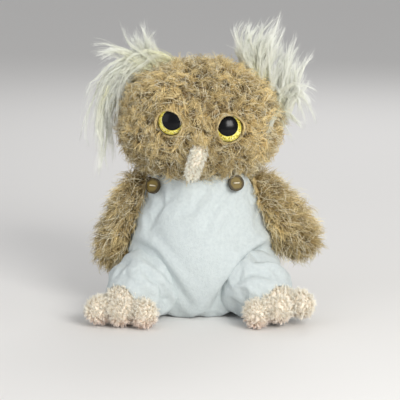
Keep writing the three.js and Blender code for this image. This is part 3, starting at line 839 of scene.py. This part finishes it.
def head_front(across, above):
    """How far the head's surface lies in front of its middle, at a place across and above that middle."""
    power = 2 / head_squareness
    level = (1 - abs(above / head_half[2]) ** power) ** (1 / power)
    return head_half[1] * math.sqrt(level**2 - (across / head_half[0]) ** 2)


eyes = {}
for side, sign, across, rise in (("left", 1, 19.4 * mm, 0.7 * mm), ("right", -1, 19.4 * mm, 5.5 * mm)):
    seat = head_middle + (sign * across, eye_sink - head_front(across, rise), rise)
    facing = np.array([math.sin(sign * eye_turn) * math.cos(eye_lift),
                       -math.cos(eye_turn) * math.cos(eye_lift), math.sin(eye_lift)])
    eyes[side] = (seat, facing)


def clear_of_eyes(line, rng):
    """Moves strand points off each eye. The dome shows to its edge low down on its outer side; elsewhere
    the pile lies over its glitter up to the pupil, and a little over the pupil opposite."""
    for side, (seat, facing) in eyes.items():
        apart = line - seat
        ahead = apart @ facing
        aside = apart - ahead[..., None] * facing
        radius = np.linalg.norm(aside, axis=-1)
        way = aside / np.maximum(radius, 1e-9)[..., None]
        open_share = way @ unit(np.array(eye_shown[side]))
        cover = 1.2 * mm * np.clip((0.5 - open_share) / 0.5, 0, 1)
        cover += eye_cover[side] * np.clip(-open_share - 0.2, 0, 1)
        clear = eye_radius + 1.4 * mm - cover - 0.8 * mm * rng.uniform(-0.3, 1, len(line))[:, None]
        inside = (radius < clear) & (ahead > -4 * mm)
        radius = np.where(inside, clear, radius)
        over = (radius < eye_radius + 0.6 * mm) & (ahead > -2 * mm)
        ahead = np.where(over, np.maximum(ahead, dome_rise(radius) + 0.3 * mm), ahead)
        moved = seat + ahead[..., None] * facing + way * radius[..., None]
        line = np.where((inside | over)[..., None], moved, line)
    return line


def head_comb(root, outward, rng):
    """The pile falls down and away from the middle of the face, and each lock strays from that."""
    from_middle = (root - head_middle) / head_half
    fall = np.stack([from_middle[:, 0], 0.6 * from_middle[:, 1], -0.8 + 0 * root[:, 0]], -1)
    return unit(fall) + 0.9 * rng.normal(size=root.shape)


def straw_comb(root, outward, rng):
    """The straws lie every way, and a little down."""
    return rng.normal(size=root.shape) + (0, 0, -0.5)


def off_eyes(root, outward):
    """Roots that aren't under an eye or in the hollow over the neck."""
    kept = (np.linalg.norm(root[:, :2], axis=1) > 26 * mm) | (root[:, 2] > 115 * mm)
    for seat, facing in eyes.values():
        apart = root - seat
        ahead = apart @ facing
        aside = np.linalg.norm(apart - ahead[:, None] * facing, axis=1)
        kept &= (aside > eye_radius - 1.5 * mm) | (ahead < -20 * mm)
    return kept


pile = locks_of_pile(
    skin_of_head, count=1750, each=11, seed=11, comb_of=head_comb, keep=off_eyes,
    length=(10 * mm, 16 * mm), lean=((0.2, 0.8), (1.1, 2.3)), curl=(0.8 * mm, 2.4 * mm), turns=(0.6, 1.8),
    spread=2.8 * mm, gather=(0.1, 0.65), steps=6,
)
straws = locks_of_pile(
    skin_of_head, count=3300, each=2, seed=12, comb_of=straw_comb, keep=off_eyes,
    length=(10 * mm, 16 * mm), lean=((0, 0.7), (1.4, 2.6)), curl=(1.2 * mm, 3.2 * mm), turns=(0.4, 1.2),
    spread=1.6 * mm, gather=(-0.5, 0.3), steps=6,
)


def brow(middle, facing, inner, outer, towards, half_sector, locks, seed):
    """Locks that lie inwards over a rim: roots between two radii round the middle, within a sector on the
    side that towards points to, combed to the middle and down."""
    rng = np.random.default_rng(seed)
    level = unit(np.cross(facing, (0, 0, 1)))
    above = np.cross(level, facing)
    angle = math.atan2(towards @ above, towards @ level) + half_sector * rng.uniform(-1, 1, locks)
    ring = np.cos(angle)[:, None] * level + np.sin(angle)[:, None] * above
    root = middle + rng.uniform(inner, outer, locks)[:, None] * ring
    root += rng.uniform(0, 2 * mm, locks)[:, None] * facing
    comb = across_surface(0.5 * rng.normal(size=ring.shape) - ring - (0, 0, 0.35), facing)
    return locks_at(
        root, np.tile(facing, (locks, 1)), comb, 7, rng, seed, length=(5 * mm, 10 * mm),
        lean=((0.5, 1.0), (1.3, 1.8)), curl=(0.5 * mm, 1.6 * mm), turns=(0.4, 1.2), spread=1.6 * mm,
        gather=(-0.2, 0.5), steps=6,
    )


def painted_cheek_shade(line):
    """How much darker each strand is painted, as painted shade over the owl's right cheek: most at a place,
    and less with the distance from it."""
    apart = (line[:, 0] - painted_shade_place) / painted_shade_spread
    return 0.34 * np.exp(-(apart**2).sum(-1))


brows = []
for side, sign in (("left", 1), ("right", -1)):
    seat, facing = eyes[side]
    inner, outer, covered = eye_radius - 0.3 * mm, eye_radius + 2.5 * mm, np.array([-0.45 * sign, 0, 0.9])
    brows.append(brow(seat, facing, inner, outer, covered, math.radians(105), 110, 7 + sign))
beak_top = head_middle + (0, 2 * mm - head_front(0, 8 * mm), -8 * mm)
ahead, above = np.array([0, -1, 0]), np.array([0.0, 0, 1])
brows.append(brow(beak_top, ahead, 2 * mm, 8 * mm, above, math.radians(80), 70, 9))
line, tone = pile
line = clear_of_eyes(line, np.random.default_rng(3))
names = ["head_pile_lower", "head_pile_cheeks", "head_pile_brow", "head_pile_crown"]
# the pile over the owl's right cheek is darkened as painted shade
grown_pile(names, "head", fur_material, line, tone - painted_cheek_shade(pile[0]), 0.24 * mm)
line, tone = (np.concatenate(parts) for parts in zip(*brows))
line = clear_of_eyes(line, np.random.default_rng(5))
grown_pile(["face_pile"], "head", fur_material, line, tone, 0.22 * mm)
line = clear_of_eyes(straws[0], np.random.default_rng(4))
names = ["head_straws_lower", "head_straws_upper"]
grown_pile(names, "head", straw_material, line, straws[1], 0.15 * mm)
head_skin = grid_form("head_skin", skin_of_head, 96, 64)
head_skin.data.materials.append(skin_material)
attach(head_skin, "head")
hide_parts("head")

# Eyes
# Safety eyes: a clear dome over gold glitter with a polished black pupil let into it. A washer inside the
# head holds each shank.
pupil_back, pupil_sink, pupil_proud = 1.6 * mm, 1.4 * mm, 0.12 * mm


def turned_form(name, profile, seat, facing, shift=(0, 0), sides=64):
    """A closed body turned about an axis: a profile of (radius, height) from the axis behind to the axis
    in front. A shift moves its places across and up, and they then rise and fall as the dome does."""
    profile = np.array(profile)
    side = unit(np.cross(facing, (0, 0, 1)))
    up = np.cross(side, facing)
    angle = -2 * math.pi * np.arange(sides) / sides
    ring = np.cos(angle)[:, None] * side + np.sin(angle)[:, None] * up
    moved = -shift[0] * side + shift[1] * up
    flat = profile[:, 0, None, None] * ring + moved
    change = dome_rise(np.linalg.norm(flat, axis=-1)) - dome_rise(profile[:, 0, None]) if any(shift) else 0
    raised = flat + (profile[:, 1, None] + change + np.zeros(sides))[..., None] * facing
    return ring_body(name, seat + raised[1:-1], seat + raised[[0, -1]].mean(1))


glitter_material = new_material("gold_glitter", (0.62, 0.42, 0.03), 0.3, Metallic=0.2, Coat_Weight=1,
                                Coat_Roughness=0.04)
glitter_tree, glitter_shader = glitter_material.node_tree, glitter_material.node_tree.nodes["Principled BSDF"]
flake_place, flakes, flake_split, flake_tone_and_glint, flake_bump = new_nodes(
    glitter_tree, "TexCoord", "TexVoronoi", "SeparateColor", "ValToRGB", "Bump")
flakes.inputs["Scale"].default_value = 1500
flake_bump.inputs["Strength"].default_value = 0.9
flake_bump.inputs["Distance"].default_value = 0.4 * mm
# the palest stops are painted glints on some flakes, and the rest give the flakes' own gold tones
stops = flake_tone_and_glint.color_ramp.elements
stops[0].color = (0.28, 0.19, 0.005, 1)
stops[1].color = (1, 1, 0.6, 1)
stops.new(0.35).color = (0.8, 0.68, 0.04, 1)
stops.new(0.75).color = (1, 0.94, 0.22, 1)
join(glitter_tree, (flake_place, "Object", flakes, "Vector"), (flakes, "Color", flake_split, "Color"),
     (flake_split, "Red", flake_tone_and_glint, "Fac"), (flake_split, "Green", flake_bump, "Height"),
     (flake_bump, "Normal", glitter_shader, "Normal"), (flake_tone_and_glint, "Color", glitter_shader, "Base Color"))
pupil_material = new_material("black_gloss", (0.002, 0.002, 0.003), 0.2, Specular_IOR_Level=0.22)
nylon_material = mottled("natural_nylon", (0.71, 0.7, 0.67), 0.5, 400, 0.93, 0.03 * mm)
for side, (seat, facing) in eyes.items():
    wall = [(0, -eye_sink), (eye_radius, -eye_sink), (eye_radius, eye_rim)]
    dome_profile = wall + [(radius, dome_rise(radius)) for radius in np.linspace(eye_radius, 0, 30)[1:]]
    dome = turned_form(f"{side}_eye_dome", dome_profile, seat, facing)
    dome.data.materials.append(glitter_material)
    bead_profile = [(0, pupil_back), (pupil_radius, dome_rise(pupil_radius) - pupil_sink)]
    bead_profile += [(radius, dome_rise(radius) + pupil_proud) for radius in np.linspace(pupil_radius, 0, 16)]
    bead = turned_form(f"{side}_pupil_bead", bead_profile, seat, facing, pupil_shift[side])
    bead.data.materials.append(pupil_material)
    for piece, node, slot in ((dome, "eye", "glitter"), (bead, "pupil", "pupil")):
        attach(piece, "head")
        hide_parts(f"{side}_{node}")
    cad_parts[f"{side}_eye_washer"].data.materials[0] = nylon_material

# Beak
# A soft cone of pale chenille, sewn to the face between the eyes and the bib. It leans to the owl's
# right.
beak_root_drop = 12 * mm
beak_root_sink = 4 * mm
beak_radius = 3.9 * mm
beak_root = head_middle + (0, beak_root_sink - head_front(0, beak_root_drop), -beak_root_drop)
beak_tip = beak_root + np.array([-7, -14, -21]) * mm
beak_bend = np.array([beak_root[0], beak_tip[1] + 3 * mm, beak_root[2] - 4 * mm])
beak_profile_shares = np.array([
    (0, 0), (0.9, 0), (1, 0.2), (0.98, 0.5), (0.94, 0.8), (0.78, 0.93), (0.4, 0.99), (0, 1),
])


def beak_path(place):
    """The beak's middle line: one bend between its root and its tip."""
    place = place[..., None]
    return (1 - place) ** 2 * beak_root + 2 * place * (1 - place) * beak_bend + place**2 * beak_tip


def beak_surface(turn, place):
    """The beak's form: its profile, carried round its middle line."""
    across, up = along_profile(beak_profile_shares, place, 0.03)
    heading = unit(beak_path(np.clip(up + 0.01, 0, 1)) - beak_path(np.clip(up - 0.01, 0, 1)))
    side = unit(np.cross(heading, (0, -1, 0)))
    face = np.cross(side, heading)
    angle = 2 * math.pi * turn
    reach = across * beak_radius
    points = beak_path(up) + (reach * np.cos(angle))[..., None] * side
    return points - (reach * np.sin(angle))[..., None] * face


def beak_comb(root, outward, rng):
    """The pile lies along the beak to its tip, and each lock strays from that."""
    return beak_tip - beak_root + 17 * mm * rng.normal(size=root.shape)


def beak_free(root, outward):
    """Roots below the place where the beak leaves the head."""
    return root[:, 2] < beak_root[2] + 1 * mm


beak_material = strand_material(
    "beak_chenille", root=(0.94, 0.88, 0.72), middle=(1, 0.98, 0.87), tip=(1, 1, 0.96),
    dark=(1, 0.9, 0.83), light=(1, 1, 0.98), roughness=0.85,
)
beak_skin = grid_form("beak_skin", beak_surface, 32, 32)
chenille_backing = mottled("chenille_backing", (1, 0.91, 0.78), 0.95, 1100, 0.86, 0.4 * mm)
beak_skin.data.materials.append(chenille_backing)
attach(beak_skin, "head")
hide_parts("beak")
line, tone = locks_of_pile(
    beak_surface, count=360, each=6, seed=21, comb_of=beak_comb, keep=beak_free,
    length=(2.8 * mm, 4.8 * mm), lean=((0.3, 0.9), (0.9, 1.7)), curl=(0.1 * mm, 0.5 * mm), turns=(0.4, 1.2),
    spread=0.9 * mm, gather=(-0.1, 0.5), steps=4,
)
grown_pile(["beak_pile"], "head", beak_material, line, tone + 0.65, 0.15 * mm)

# Tufts
# Long silky white hair sewn to each upper side of the head: one lock sweeps outwards and falls, one
# stands up.
hair_reach, hair_give = 78 * mm, 12 * mm
tuft_locks = {
    # the owl's own left tuft stands up and out; its right one sweeps out and down. A row holds a lock's
    # path in shares of the head's half sizes from its middle, how many pairs of strand groups it has, how
    # far apart they start and end in millimetres, and the shares of the path that they run to.
    "left": [
        ([(0.66, 0.12, 0.72), (0.66, 0.1, 1.0), (0.62, 0.08, 1.26), (0.72, 0.06, 1.5)], 26, 6, 5,
         (0.55, 1.04)),
        ([(0.74, 0.12, 0.6), (0.78, 0.1, 0.95), (0.85, 0.08, 1.28), (0.93, 0.06, 1.56)], 30, 6, 5,
         (0.5, 1.04)),
        ([(0.92, 0.08, 0.04), (1.02, 0.06, 0.42), (1.07, 0.04, 0.84), (1.16, 0.02, 1.2)], 36, 6, 5,
         (0.5, 1.1)),
        ([(0.9, 0.06, 0.2), (1.04, 0.02, 0.42), (1.18, -0.02, 0.54), (1.3, -0.04, 0.4), (1.34, -0.06, 0.1)],
         7, 4, 4, (0.7, 1.1)),
        ([(0.92, 0.02, 0.2), (1.04, -0.06, 0.14), (1.16, -0.1, 0), (1.28, -0.12, -0.14)], 4, 3, 4,
         (0.7, 1.1)),
        ([(0.92, -0.2, 0.26), (0.9, -0.5, 0.06), (0.82, -0.7, -0.1)], 3, 2, 3, (0.8, 1.1)),
    ],
    "right": [
        ([(0.4, 0.16, 0.86), (0.66, 0.12, 1.0), (0.95, 0.06, 0.9), (1.13, 0, 0.6), (1.2, -0.04, 0.22),
          (1.18, -0.08, -0.26)], 40, 5, 4, (0.6, 1.08)),
        ([(0.72, 0.16, 0.66), (0.9, 0.1, 0.8), (1.04, 0.04, 0.62), (1.13, -0.02, 0.3), (1.18, -0.06, -0.16)],
         26, 6, 4, (0.6, 1.1)),
        ([(0.46, 0.16, 0.84), (0.64, 0.12, 1.06), (0.82, 0.08, 1.26), (0.85, 0.06, 1.52)], 12, 4, 4,
         (0.7, 1.08)),
        ([(0.5, 0.16, 0.84), (0.6, 0.12, 1.08), (0.68, 0.08, 1.3), (0.7, 0.06, 1.48)], 6, 3, 3, (0.8, 1.05)),
        ([(0.6, 0.12, 0.86), (0.9, 0.06, 1.12), (1.08, 0.02, 1.18), (1.24, 0, 1.08)], 6, 3, 3, (0.8, 1.1)),
        ([(1.1, 0, 0.5), (1.2, -0.04, 0.1), (1.2, -0.06, -0.4), (1.22, -0.08, -0.8)], 5, 3, 3, (0.8, 1.05)),
    ],
}


def hair_lock(path_shares, sign, rng, locks, each, root_spread, tip_spread, length, steps=12):
    """Strand lines that follow one path: locks stray from it, more towards their tips, in two waves, and
    the strands of a lock draw together along it and part a little at its tip."""
    points = head_middle + np.array(path_shares) * head_half * (sign, 1, 1)
    place = np.linspace(0, 1, steps)
    size = np.linalg.norm(np.diff(points, axis=0), axis=1).sum()
    reach = rng.uniform(*length, locks)
    along = spline(points, place * np.minimum(reach, 1)[:, None])
    carried = spline(points, np.ones(locks)) - spline(points, np.full(locks, 0.9))
    along = along + (np.maximum(reach - 1, 0)[:, None] * 10 * place**2)[..., None] * carried[:, None]
    roots = root_spread * rng.normal(size=(locks, 1, 3)) * 0.6
    tips = tip_spread * rng.normal(size=(locks, 1, 3))
    lines = along + roots + place[:, None] ** 1.3 * tips
    for wave_length, height in ((60 * mm, 2 * mm), (26 * mm, 0.6 * mm)):
        wound = 2 * math.pi * size / wave_length * place + rng.uniform(0, 6.3, (locks, 1))
        lines = lines + (np.sin(wound) * np.sqrt(place))[..., None] * rng.normal(size=(locks, 1, 3)) * height
    lines = np.repeat(lines, each, axis=0)
    count = locks * each
    own = rng.normal(size=(count, 1, 3)) * 1.8 * mm
    stray = rng.normal(size=(count, 1, 3)) * 4 * mm * rng.uniform(0, 1, (count, 1, 1)) ** 3
    wound = 2 * math.pi * size / (18 * mm) * place + rng.uniform(0, 6.3, (count, 1))
    wave = np.sin(wound)[..., None] * rng.normal(size=(count, 1, 3)) * 0.35 * mm
    drawn = 1 - 0.8 * np.sin(0.75 * math.pi * place)
    lines = lines + own * drawn[:, None] + stray * place[:, None] ** 2 + wave
    tone = np.repeat(rng.uniform(0.2, 0.9, locks), each) + 0.15 * rng.normal(size=count)
    return lines, tone


def outside_head(line, growth):
    """Moves strand points out of the head's skin, straight away from its middle."""
    apart = line - head_middle
    power = 2 / head_squareness
    shares = np.abs(apart / (head_half + growth))
    level = np.hypot(shares[..., 0], shares[..., 1])
    reach = (level**power + shares[..., 2] ** power) ** (1 / power)
    return head_middle + apart * np.maximum(1, 1 / np.maximum(reach, 1e-6))[..., None]


hair_material = strand_material(
    "white_hair", root=(0.94, 0.92, 0.62), middle=(0.98, 0.98, 0.88), tip=(0.99, 1, 0.96),
    dark=(0.9, 0.92, 0.87), light=(1, 1, 1), roughness=0.45,
)
for side, sign in (("left", 1), ("right", -1)):
    rng = np.random.default_rng(31 + sign)
    parts = [
        hair_lock(path, sign, rng, 2 * count, 13, start * mm, finish * mm, length)
        for path, count, start, finish, length in tuft_locks[side]
    ]
    line = outside_head(np.concatenate([part[0] for part in parts]), -5 * mm)
    beyond = np.maximum(np.abs(line[..., 0]) - hair_reach, 0)
    line[..., 0] -= np.sign(line[..., 0]) * (beyond - hair_give * np.tanh(beyond / hair_give))
    tone = np.concatenate([part[1] for part in parts])
    hair = grown_pile([f"{side}_tuft_hair"], "head", hair_material, line, tone, 0.13 * mm)[0]
    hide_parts(f"{side}_tuft")

# Wings
# Flat stuffed limbs of the same tan pile on round shoulders. They hang beside the body, and their pile
# falls outwards and down.
wing_hinge = np.array([40, 0, 85.8]) * mm
wing_length = 60 * mm
wing_radius = 16.5 * mm
wing_depth_share = 28 / 33
wing_pile_depth = 4 * mm
wing_splay = {"left": math.radians(43), "right": math.radians(26)}
wing_profile_shares = np.array([
    (0, -0.2), (0.5, -0.18), (0.8, -0.1), (0.94, 0.04), (0.98, 0.2), (1, 0.4), (0.97, 0.6), (0.85, 0.78),
    (0.63, 0.91), (0.34, 0.98), (0, 1),
])
# how far the skin stands off the torso beside the overalls and sinks into it above them, and over what
# height it goes from one to the other; the pile stands off a little more
skin_gap, skin_sink, skin_change, pile_gap = 3 * mm, 4 * mm, 5 * mm, 3.6 * mm


def torso_radius(height, growth):
    """Half the torso's width at a height, for the torso grown evenly by a distance."""
    up = (height - torso_low[2] + growth) / (2 * torso_half[2] + 2 * growth)
    places = np.linspace(0, 1, 400)
    across, ups = along_profile(torso_profile_shares, places, profile_round_off_share)
    return np.interp(up, ups, across, left=-1, right=-1) * torso_half[0] + growth


def outside_torso(points, growth):
    """Moves points that lie inside the grown torso straight out from its axis to its surface."""
    power = 2 / torso_squareness
    depth_share = torso_half[1] / torso_half[0]
    reach = (np.abs(points[..., 0]) ** power + np.abs(points[..., 1] / depth_share) ** power) ** (1 / power)
    radius = torso_radius(points[..., 2], growth)
    push = np.where((reach < radius) & (radius > 0), radius / np.maximum(reach, 1e-6), 1)
    return points * np.stack([push, push, np.ones_like(push)], -1)


for side, sign in (("left", 1), ("right", -1)):
    hinge = wing_hinge * (sign, 1, 1)
    down = np.array([sign * math.sin(wing_splay[side]), 0, -math.cos(wing_splay[side])])
    aside = np.array([-down[2], 0, down[0]])

    def skin_of_wing(turn, place):
        """The backing under the wing's pile, bent round the torso."""
        across, up = along_profile(wing_profile_shares, place, profile_round_off_share)
        reach = across * (wing_radius - wing_pile_depth)
        angle = 2 * math.pi * turn
        points = hinge + (up * (wing_length - wing_pile_depth))[..., None] * down
        points = points + (reach * np.cos(angle))[..., None] * aside
        points = points + (wing_depth_share * reach * np.sin(angle))[..., None] * np.array([0, -1, 0])
        bare = np.clip(over_edge(points) / skin_change, 0, 1)[..., None]
        return (1 - bare) * outside_torso(points, skin_gap) + bare * outside_torso(points, -skin_sink)

    def wing_comb(root, outward, rng):
        """The pile falls down the wing, and each lock strays from that."""
        return down + 0.7 * rng.normal(size=root.shape)

    def wing_straw_comb(root, outward, rng):
        """The straws stray further."""
        return down + 0.9 * rng.normal(size=root.shape)

    def wing_free(root, outward):
        """Roots that stand clear of the torso, or lie above the overalls' edge."""
        return (np.abs(outside_torso(root, 3.3 * mm) - root).max(1) < 1e-6) | (over_edge(root) > -2 * mm)

    line, tone = locks_of_pile(
        skin_of_wing, count=640, each=10, seed=41 + sign, comb_of=wing_comb, keep=wing_free,
        length=(11 * mm, 17 * mm), lean=((0.3, 0.9), (1.0, 2.0)), curl=(0.8 * mm, 2.6 * mm), turns=(0.5, 1.8),
        spread=2.6 * mm, gather=(-0.1, 0.6), steps=6,
    )
    line = outside_torso(line, pile_gap)
    grown_pile([f"{side}_wing_pile"], f"{side}_wing", fur_material, line, tone - 0.22, 0.24 * mm)
    line, tone = locks_of_pile(
        skin_of_wing, count=520, each=2, seed=51 + sign, comb_of=wing_straw_comb, keep=wing_free,
        length=(13 * mm, 22 * mm), lean=((0.1, 0.7), (1.0, 2.0)), curl=(0.8 * mm, 2.6 * mm), turns=(0.3, 1),
        spread=1.6 * mm, gather=(-0.5, 0.5), steps=8,
    )
    line = outside_torso(line, pile_gap)
    grown_pile([f"{side}_wing_straws"], f"{side}_wing", straw_material, line, tone, 0.16 * mm)
    wing_skin = grid_form(f"{side}_wing_skin", skin_of_wing, 48, 48)
    wing_skin.data.materials.append(skin_material)
    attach(wing_skin, f"{side}_wing")
    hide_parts(f"{side}_wing")

# Trouser legs
# Loose tubes of the same fleece from the hips to the ankles, creased where the legs bend forward, and
# drawn in at the cuffs.
hip = np.array([33.4, -26, 22.3]) * mm
trouser_splay = math.radians(38)
leg_heading = np.array([math.sin(trouser_splay), -math.cos(trouser_splay), 0])
trouser_length = 39 * mm
trouser_radius = 22.3 * mm
trouser_lift = 1.5 * mm
trouser_fall = 10 * mm
floor_gap, floor_ease = 0.4 * mm, 3.6 * mm
held_root, held_cuff = -14 * mm, 32 * mm
bend_start, bend_end = -14 * mm, 4 * mm
trouser_profile_shares = np.array([
    (0, -0.8), (0.62, -0.72), (0.92, -0.5), (1.04, -0.15), (1.07, 0.15), (1.0, 0.45), (0.86, 0.74),
    (0.68, 0.96),
    (0.62, 1.0), (0.54, 0.96), (0.4, 0.7), (0, 0.6),
])


trouser_creases = {
    # for the side of each sign: a path of places, how wide and how deep
    1: [([(42, -42, 45), (56, -34, 41), (67, -22, 31)], 4, 4),
        ([(30, -50, 34), (44, -52, 33), (58, -44, 26)], 4.5, 2)],
    -1: [([(-60, -22, 33), (-48, -40, 33), (-36, -49, 28), (-24, -52, 15)], 4, 4),
         ([(-62, -34, 24), (-50, -50, 24), (-38, -56, 20)], 4, 2)],
}


def trouser_surface(sign):
    """The surface function of the trouser leg on the side of a sign: its profile, carried along the
    falling leg with light ripples and creases, and eased flat above the floor."""
    heading = leg_heading * (sign, 1, 1)
    aside = np.array([-heading[1], heading[0], 0])

    def surface(turn, place):
        across, up = along_profile(trouser_profile_shares, place, 0.02)
        angle = 2 * math.pi * turn
        reach = across * trouser_radius
        gathers = np.cos(11 * angle) * np.clip((up - 0.6) / 0.4, 0, 1)
        ripples = 1 + 0.02 * gathers + 0.02 * np.cos(5 * angle + 9 * up)
        points = hip * (sign, 1, 1) + (up * trouser_length)[..., None] * heading
        points[..., 2] += trouser_lift - trouser_fall * np.clip(up, 0, 1) ** 2
        outward = np.cos(angle)[..., None] * aside + np.sin(angle)[..., None] * np.array([0, 0, 1])
        points = points + (reach * ripples)[..., None] * outward
        points = points - creased(points, trouser_creases[sign])[..., None] * unit(outward)
        low = np.minimum(points[..., 2] - floor_gap - floor_ease, 0)
        eased = floor_gap + floor_ease * np.exp(low / floor_ease)
        points[..., 2] = np.where(low < 0, eased, points[..., 2])
        return points

    return surface


for side, sign in (("left", 1), ("right", -1)):
    middle, heading = hip * (sign, 1, 1), leg_heading * (sign, 1, 1)
    trouser = grid_form(f"{side}_trouser_cloth", trouser_surface(sign), 80, 72)
    out = (points_of(trouser) - middle) @ heading
    cloth_of(trouser, (out < held_root) | (out > held_cuff), pressure=4, looseness=0.1, cap=4 * mm)
    finer(trouser)
    trouser.data.materials.append(fleece_material)
    start, end = (tuple(middle + reach * heading) for reach in (bend_start, bend_end))
    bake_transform(trouser)
    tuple(start)
    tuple(end)
    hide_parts(f"{side}_trouser_leg")

# Feet
# Stuffed feet of curly cream chenille with three round toes, pink towards the soles. An ankle of the same
# pile runs up into the trouser leg.
foot_pile_depth = 3.2 * mm
foot_place = (hip + 30 * mm * leg_heading + np.array([2, -8, 0]) * mm) * (1, 1, 0)
foot_turn = math.radians(12)
foot_roll = {"left": math.radians(9), "right": math.radians(2)}
foot_press = 0.5 * mm
foot_blobs = [
    # middle, half sizes and turn in degrees of the pad and of each toe, and how far ahead of the turn it
    # lies
    ((0, 0, 0.8), (22.5, 16, 12), 0, 0), ((-14.9, 0, 0), (10.7, 13.2, 11.2), -12, 6),
    ((0, 0, 0), (10.7, 13.2, 11.2), 0, 6), ((14.9, 0, 0), (10.7, 13.2, 11.2), 12, 6),
]
ankle_place = np.array([54.5, -54.5, 15.8]) * mm
ankle_half = np.array([15, 15.5, 13.6]) * mm
strands_area = 400 * mm**2


def flat_turn(angle):
    """The matrix that turns about Z."""
    cosine, sine = math.cos(angle), math.sin(angle)
    return np.array([(cosine, -sine, 0), (sine, cosine, 0), (0, 0, 1)])


def foot_forms(side, sign):
    """The ellipsoids of a foot, as its turning matrix, middle and half sizes each: the pad and the toes,
    which rest on the floor together, and then the ankle."""
    cosine, sine = math.cos(-sign * foot_roll[side]), math.sin(-sign * foot_roll[side])
    roll = np.array([(cosine, 0, sine), (0, 1, 0), (-sine, 0, cosine)])
    laid = flat_turn(sign * foot_turn) @ roll
    forms = []
    for middle, half, fan, ahead in foot_blobs:
        fanned = flat_turn(math.radians(fan))
        local = np.array(middle) + fanned @ np.array([0, -ahead, 0])
        forms.append((laid @ fanned, laid @ (local * mm), np.array(half) * mm))
    depths = [math.sqrt(((turned[2] * half) ** 2).sum()) - middle[2] for turned, middle, half in forms]
    place = foot_place * (sign, 1, 1) + (0, 0, max(depths) - foot_press)
    forms = [(turned, middle + place, half) for turned, middle, half in forms]
    return [*forms, (np.eye(3), ankle_place * (sign, 1, 1), ankle_half)]


def blob_surface(form):
    """The surface function of one ellipsoid's skin, sunk by the pile's depth."""
    turned, middle, half = form

    def surface(turn, place):
        rise = math.pi * (place - 0.5)
        angle = 2 * math.pi * turn
        flat = np.cos(rise) * (place * (1 - place) > 1e-12)
        points = np.stack([flat * np.cos(angle), flat * np.sin(angle), np.sin(rise) + 0 * angle], -1)
        return middle + (points * (half - foot_pile_depth)) @ turned.T

    return surface


def free_of_others(form, forms):
    """The test for roots above the floor that lie in none of a foot's other ellipsoids."""
    def keep(root, outward):
        kept = root[:, 2] > 1 * mm
        for other in forms:
            if other is not form:
                turned, middle, half = other
                kept &= (((root - middle) @ turned / (half - foot_pile_depth)) ** 2).sum(1) >= 0.98
        return kept

    return keep


def every_way(root, outward, rng):
    """The locks lie every way."""
    return rng.normal(size=root.shape)


chenille_material = strand_material(
    "pale_chenille", root=(0.96, 0.86, 0.72), middle=(1, 0.94, 0.82), tip=(1, 0.98, 0.92),
    dark=(1, 0.80, 0.77), light=(1, 1, 0.98), roughness=0.85,
)
for side, sign in (("left", 1), ("right", -1)):
    forms = foot_forms(side, sign)
    lines, tones, skins = [], [], []
    for number, form in enumerate(forms):
        area = (form[2][0] + form[2][1]) * form[2][2] / strands_area
        line, tone = locks_of_pile(
            blob_surface(form), count=int(480 * area), each=6, seed=60 + number + sign, comb_of=every_way,
            keep=free_of_others(form, forms), length=(3 * mm, 5.4 * mm), lean=((0, 0.6), (0.3, 1.5)),
            curl=(0.1 * mm, 0.6 * mm), turns=(0.5, 1.5), spread=1 * mm, gather=(0, 0.7), steps=4,
        )
        line[..., 2] = np.maximum(line[..., 2], 0.3 * mm)
        lines.append(line)
        tones.append(0.3 * tone + (line[:, 0, 2] - 1 * mm) / (12 * mm))
        skins.append(grid_form(f"{side}_foot_skin_{number}", blob_surface(form), 32, 20))
    line, tone = np.concatenate(lines), np.concatenate(tones)
    grown_pile([f"{side}_foot_pile"], f"{side}_leg", chenille_material, line, tone, 0.175 * mm)
    bpy.ops.object.select_all(action="DESELECT")
    for skin in skins:
        skin.select_set(True)
    bpy.context.view_layer.objects.active = skins[0]
    bpy.ops.object.join()
    foot_skin = bpy.context.view_layer.objects.active
    foot_skin.name = f"{side}_foot_skin"
    foot_skin.data.materials.append(chenille_backing)
    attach(foot_skin, f"{side}_leg")
    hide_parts(f"{side}_foot", f"{side}_leg")
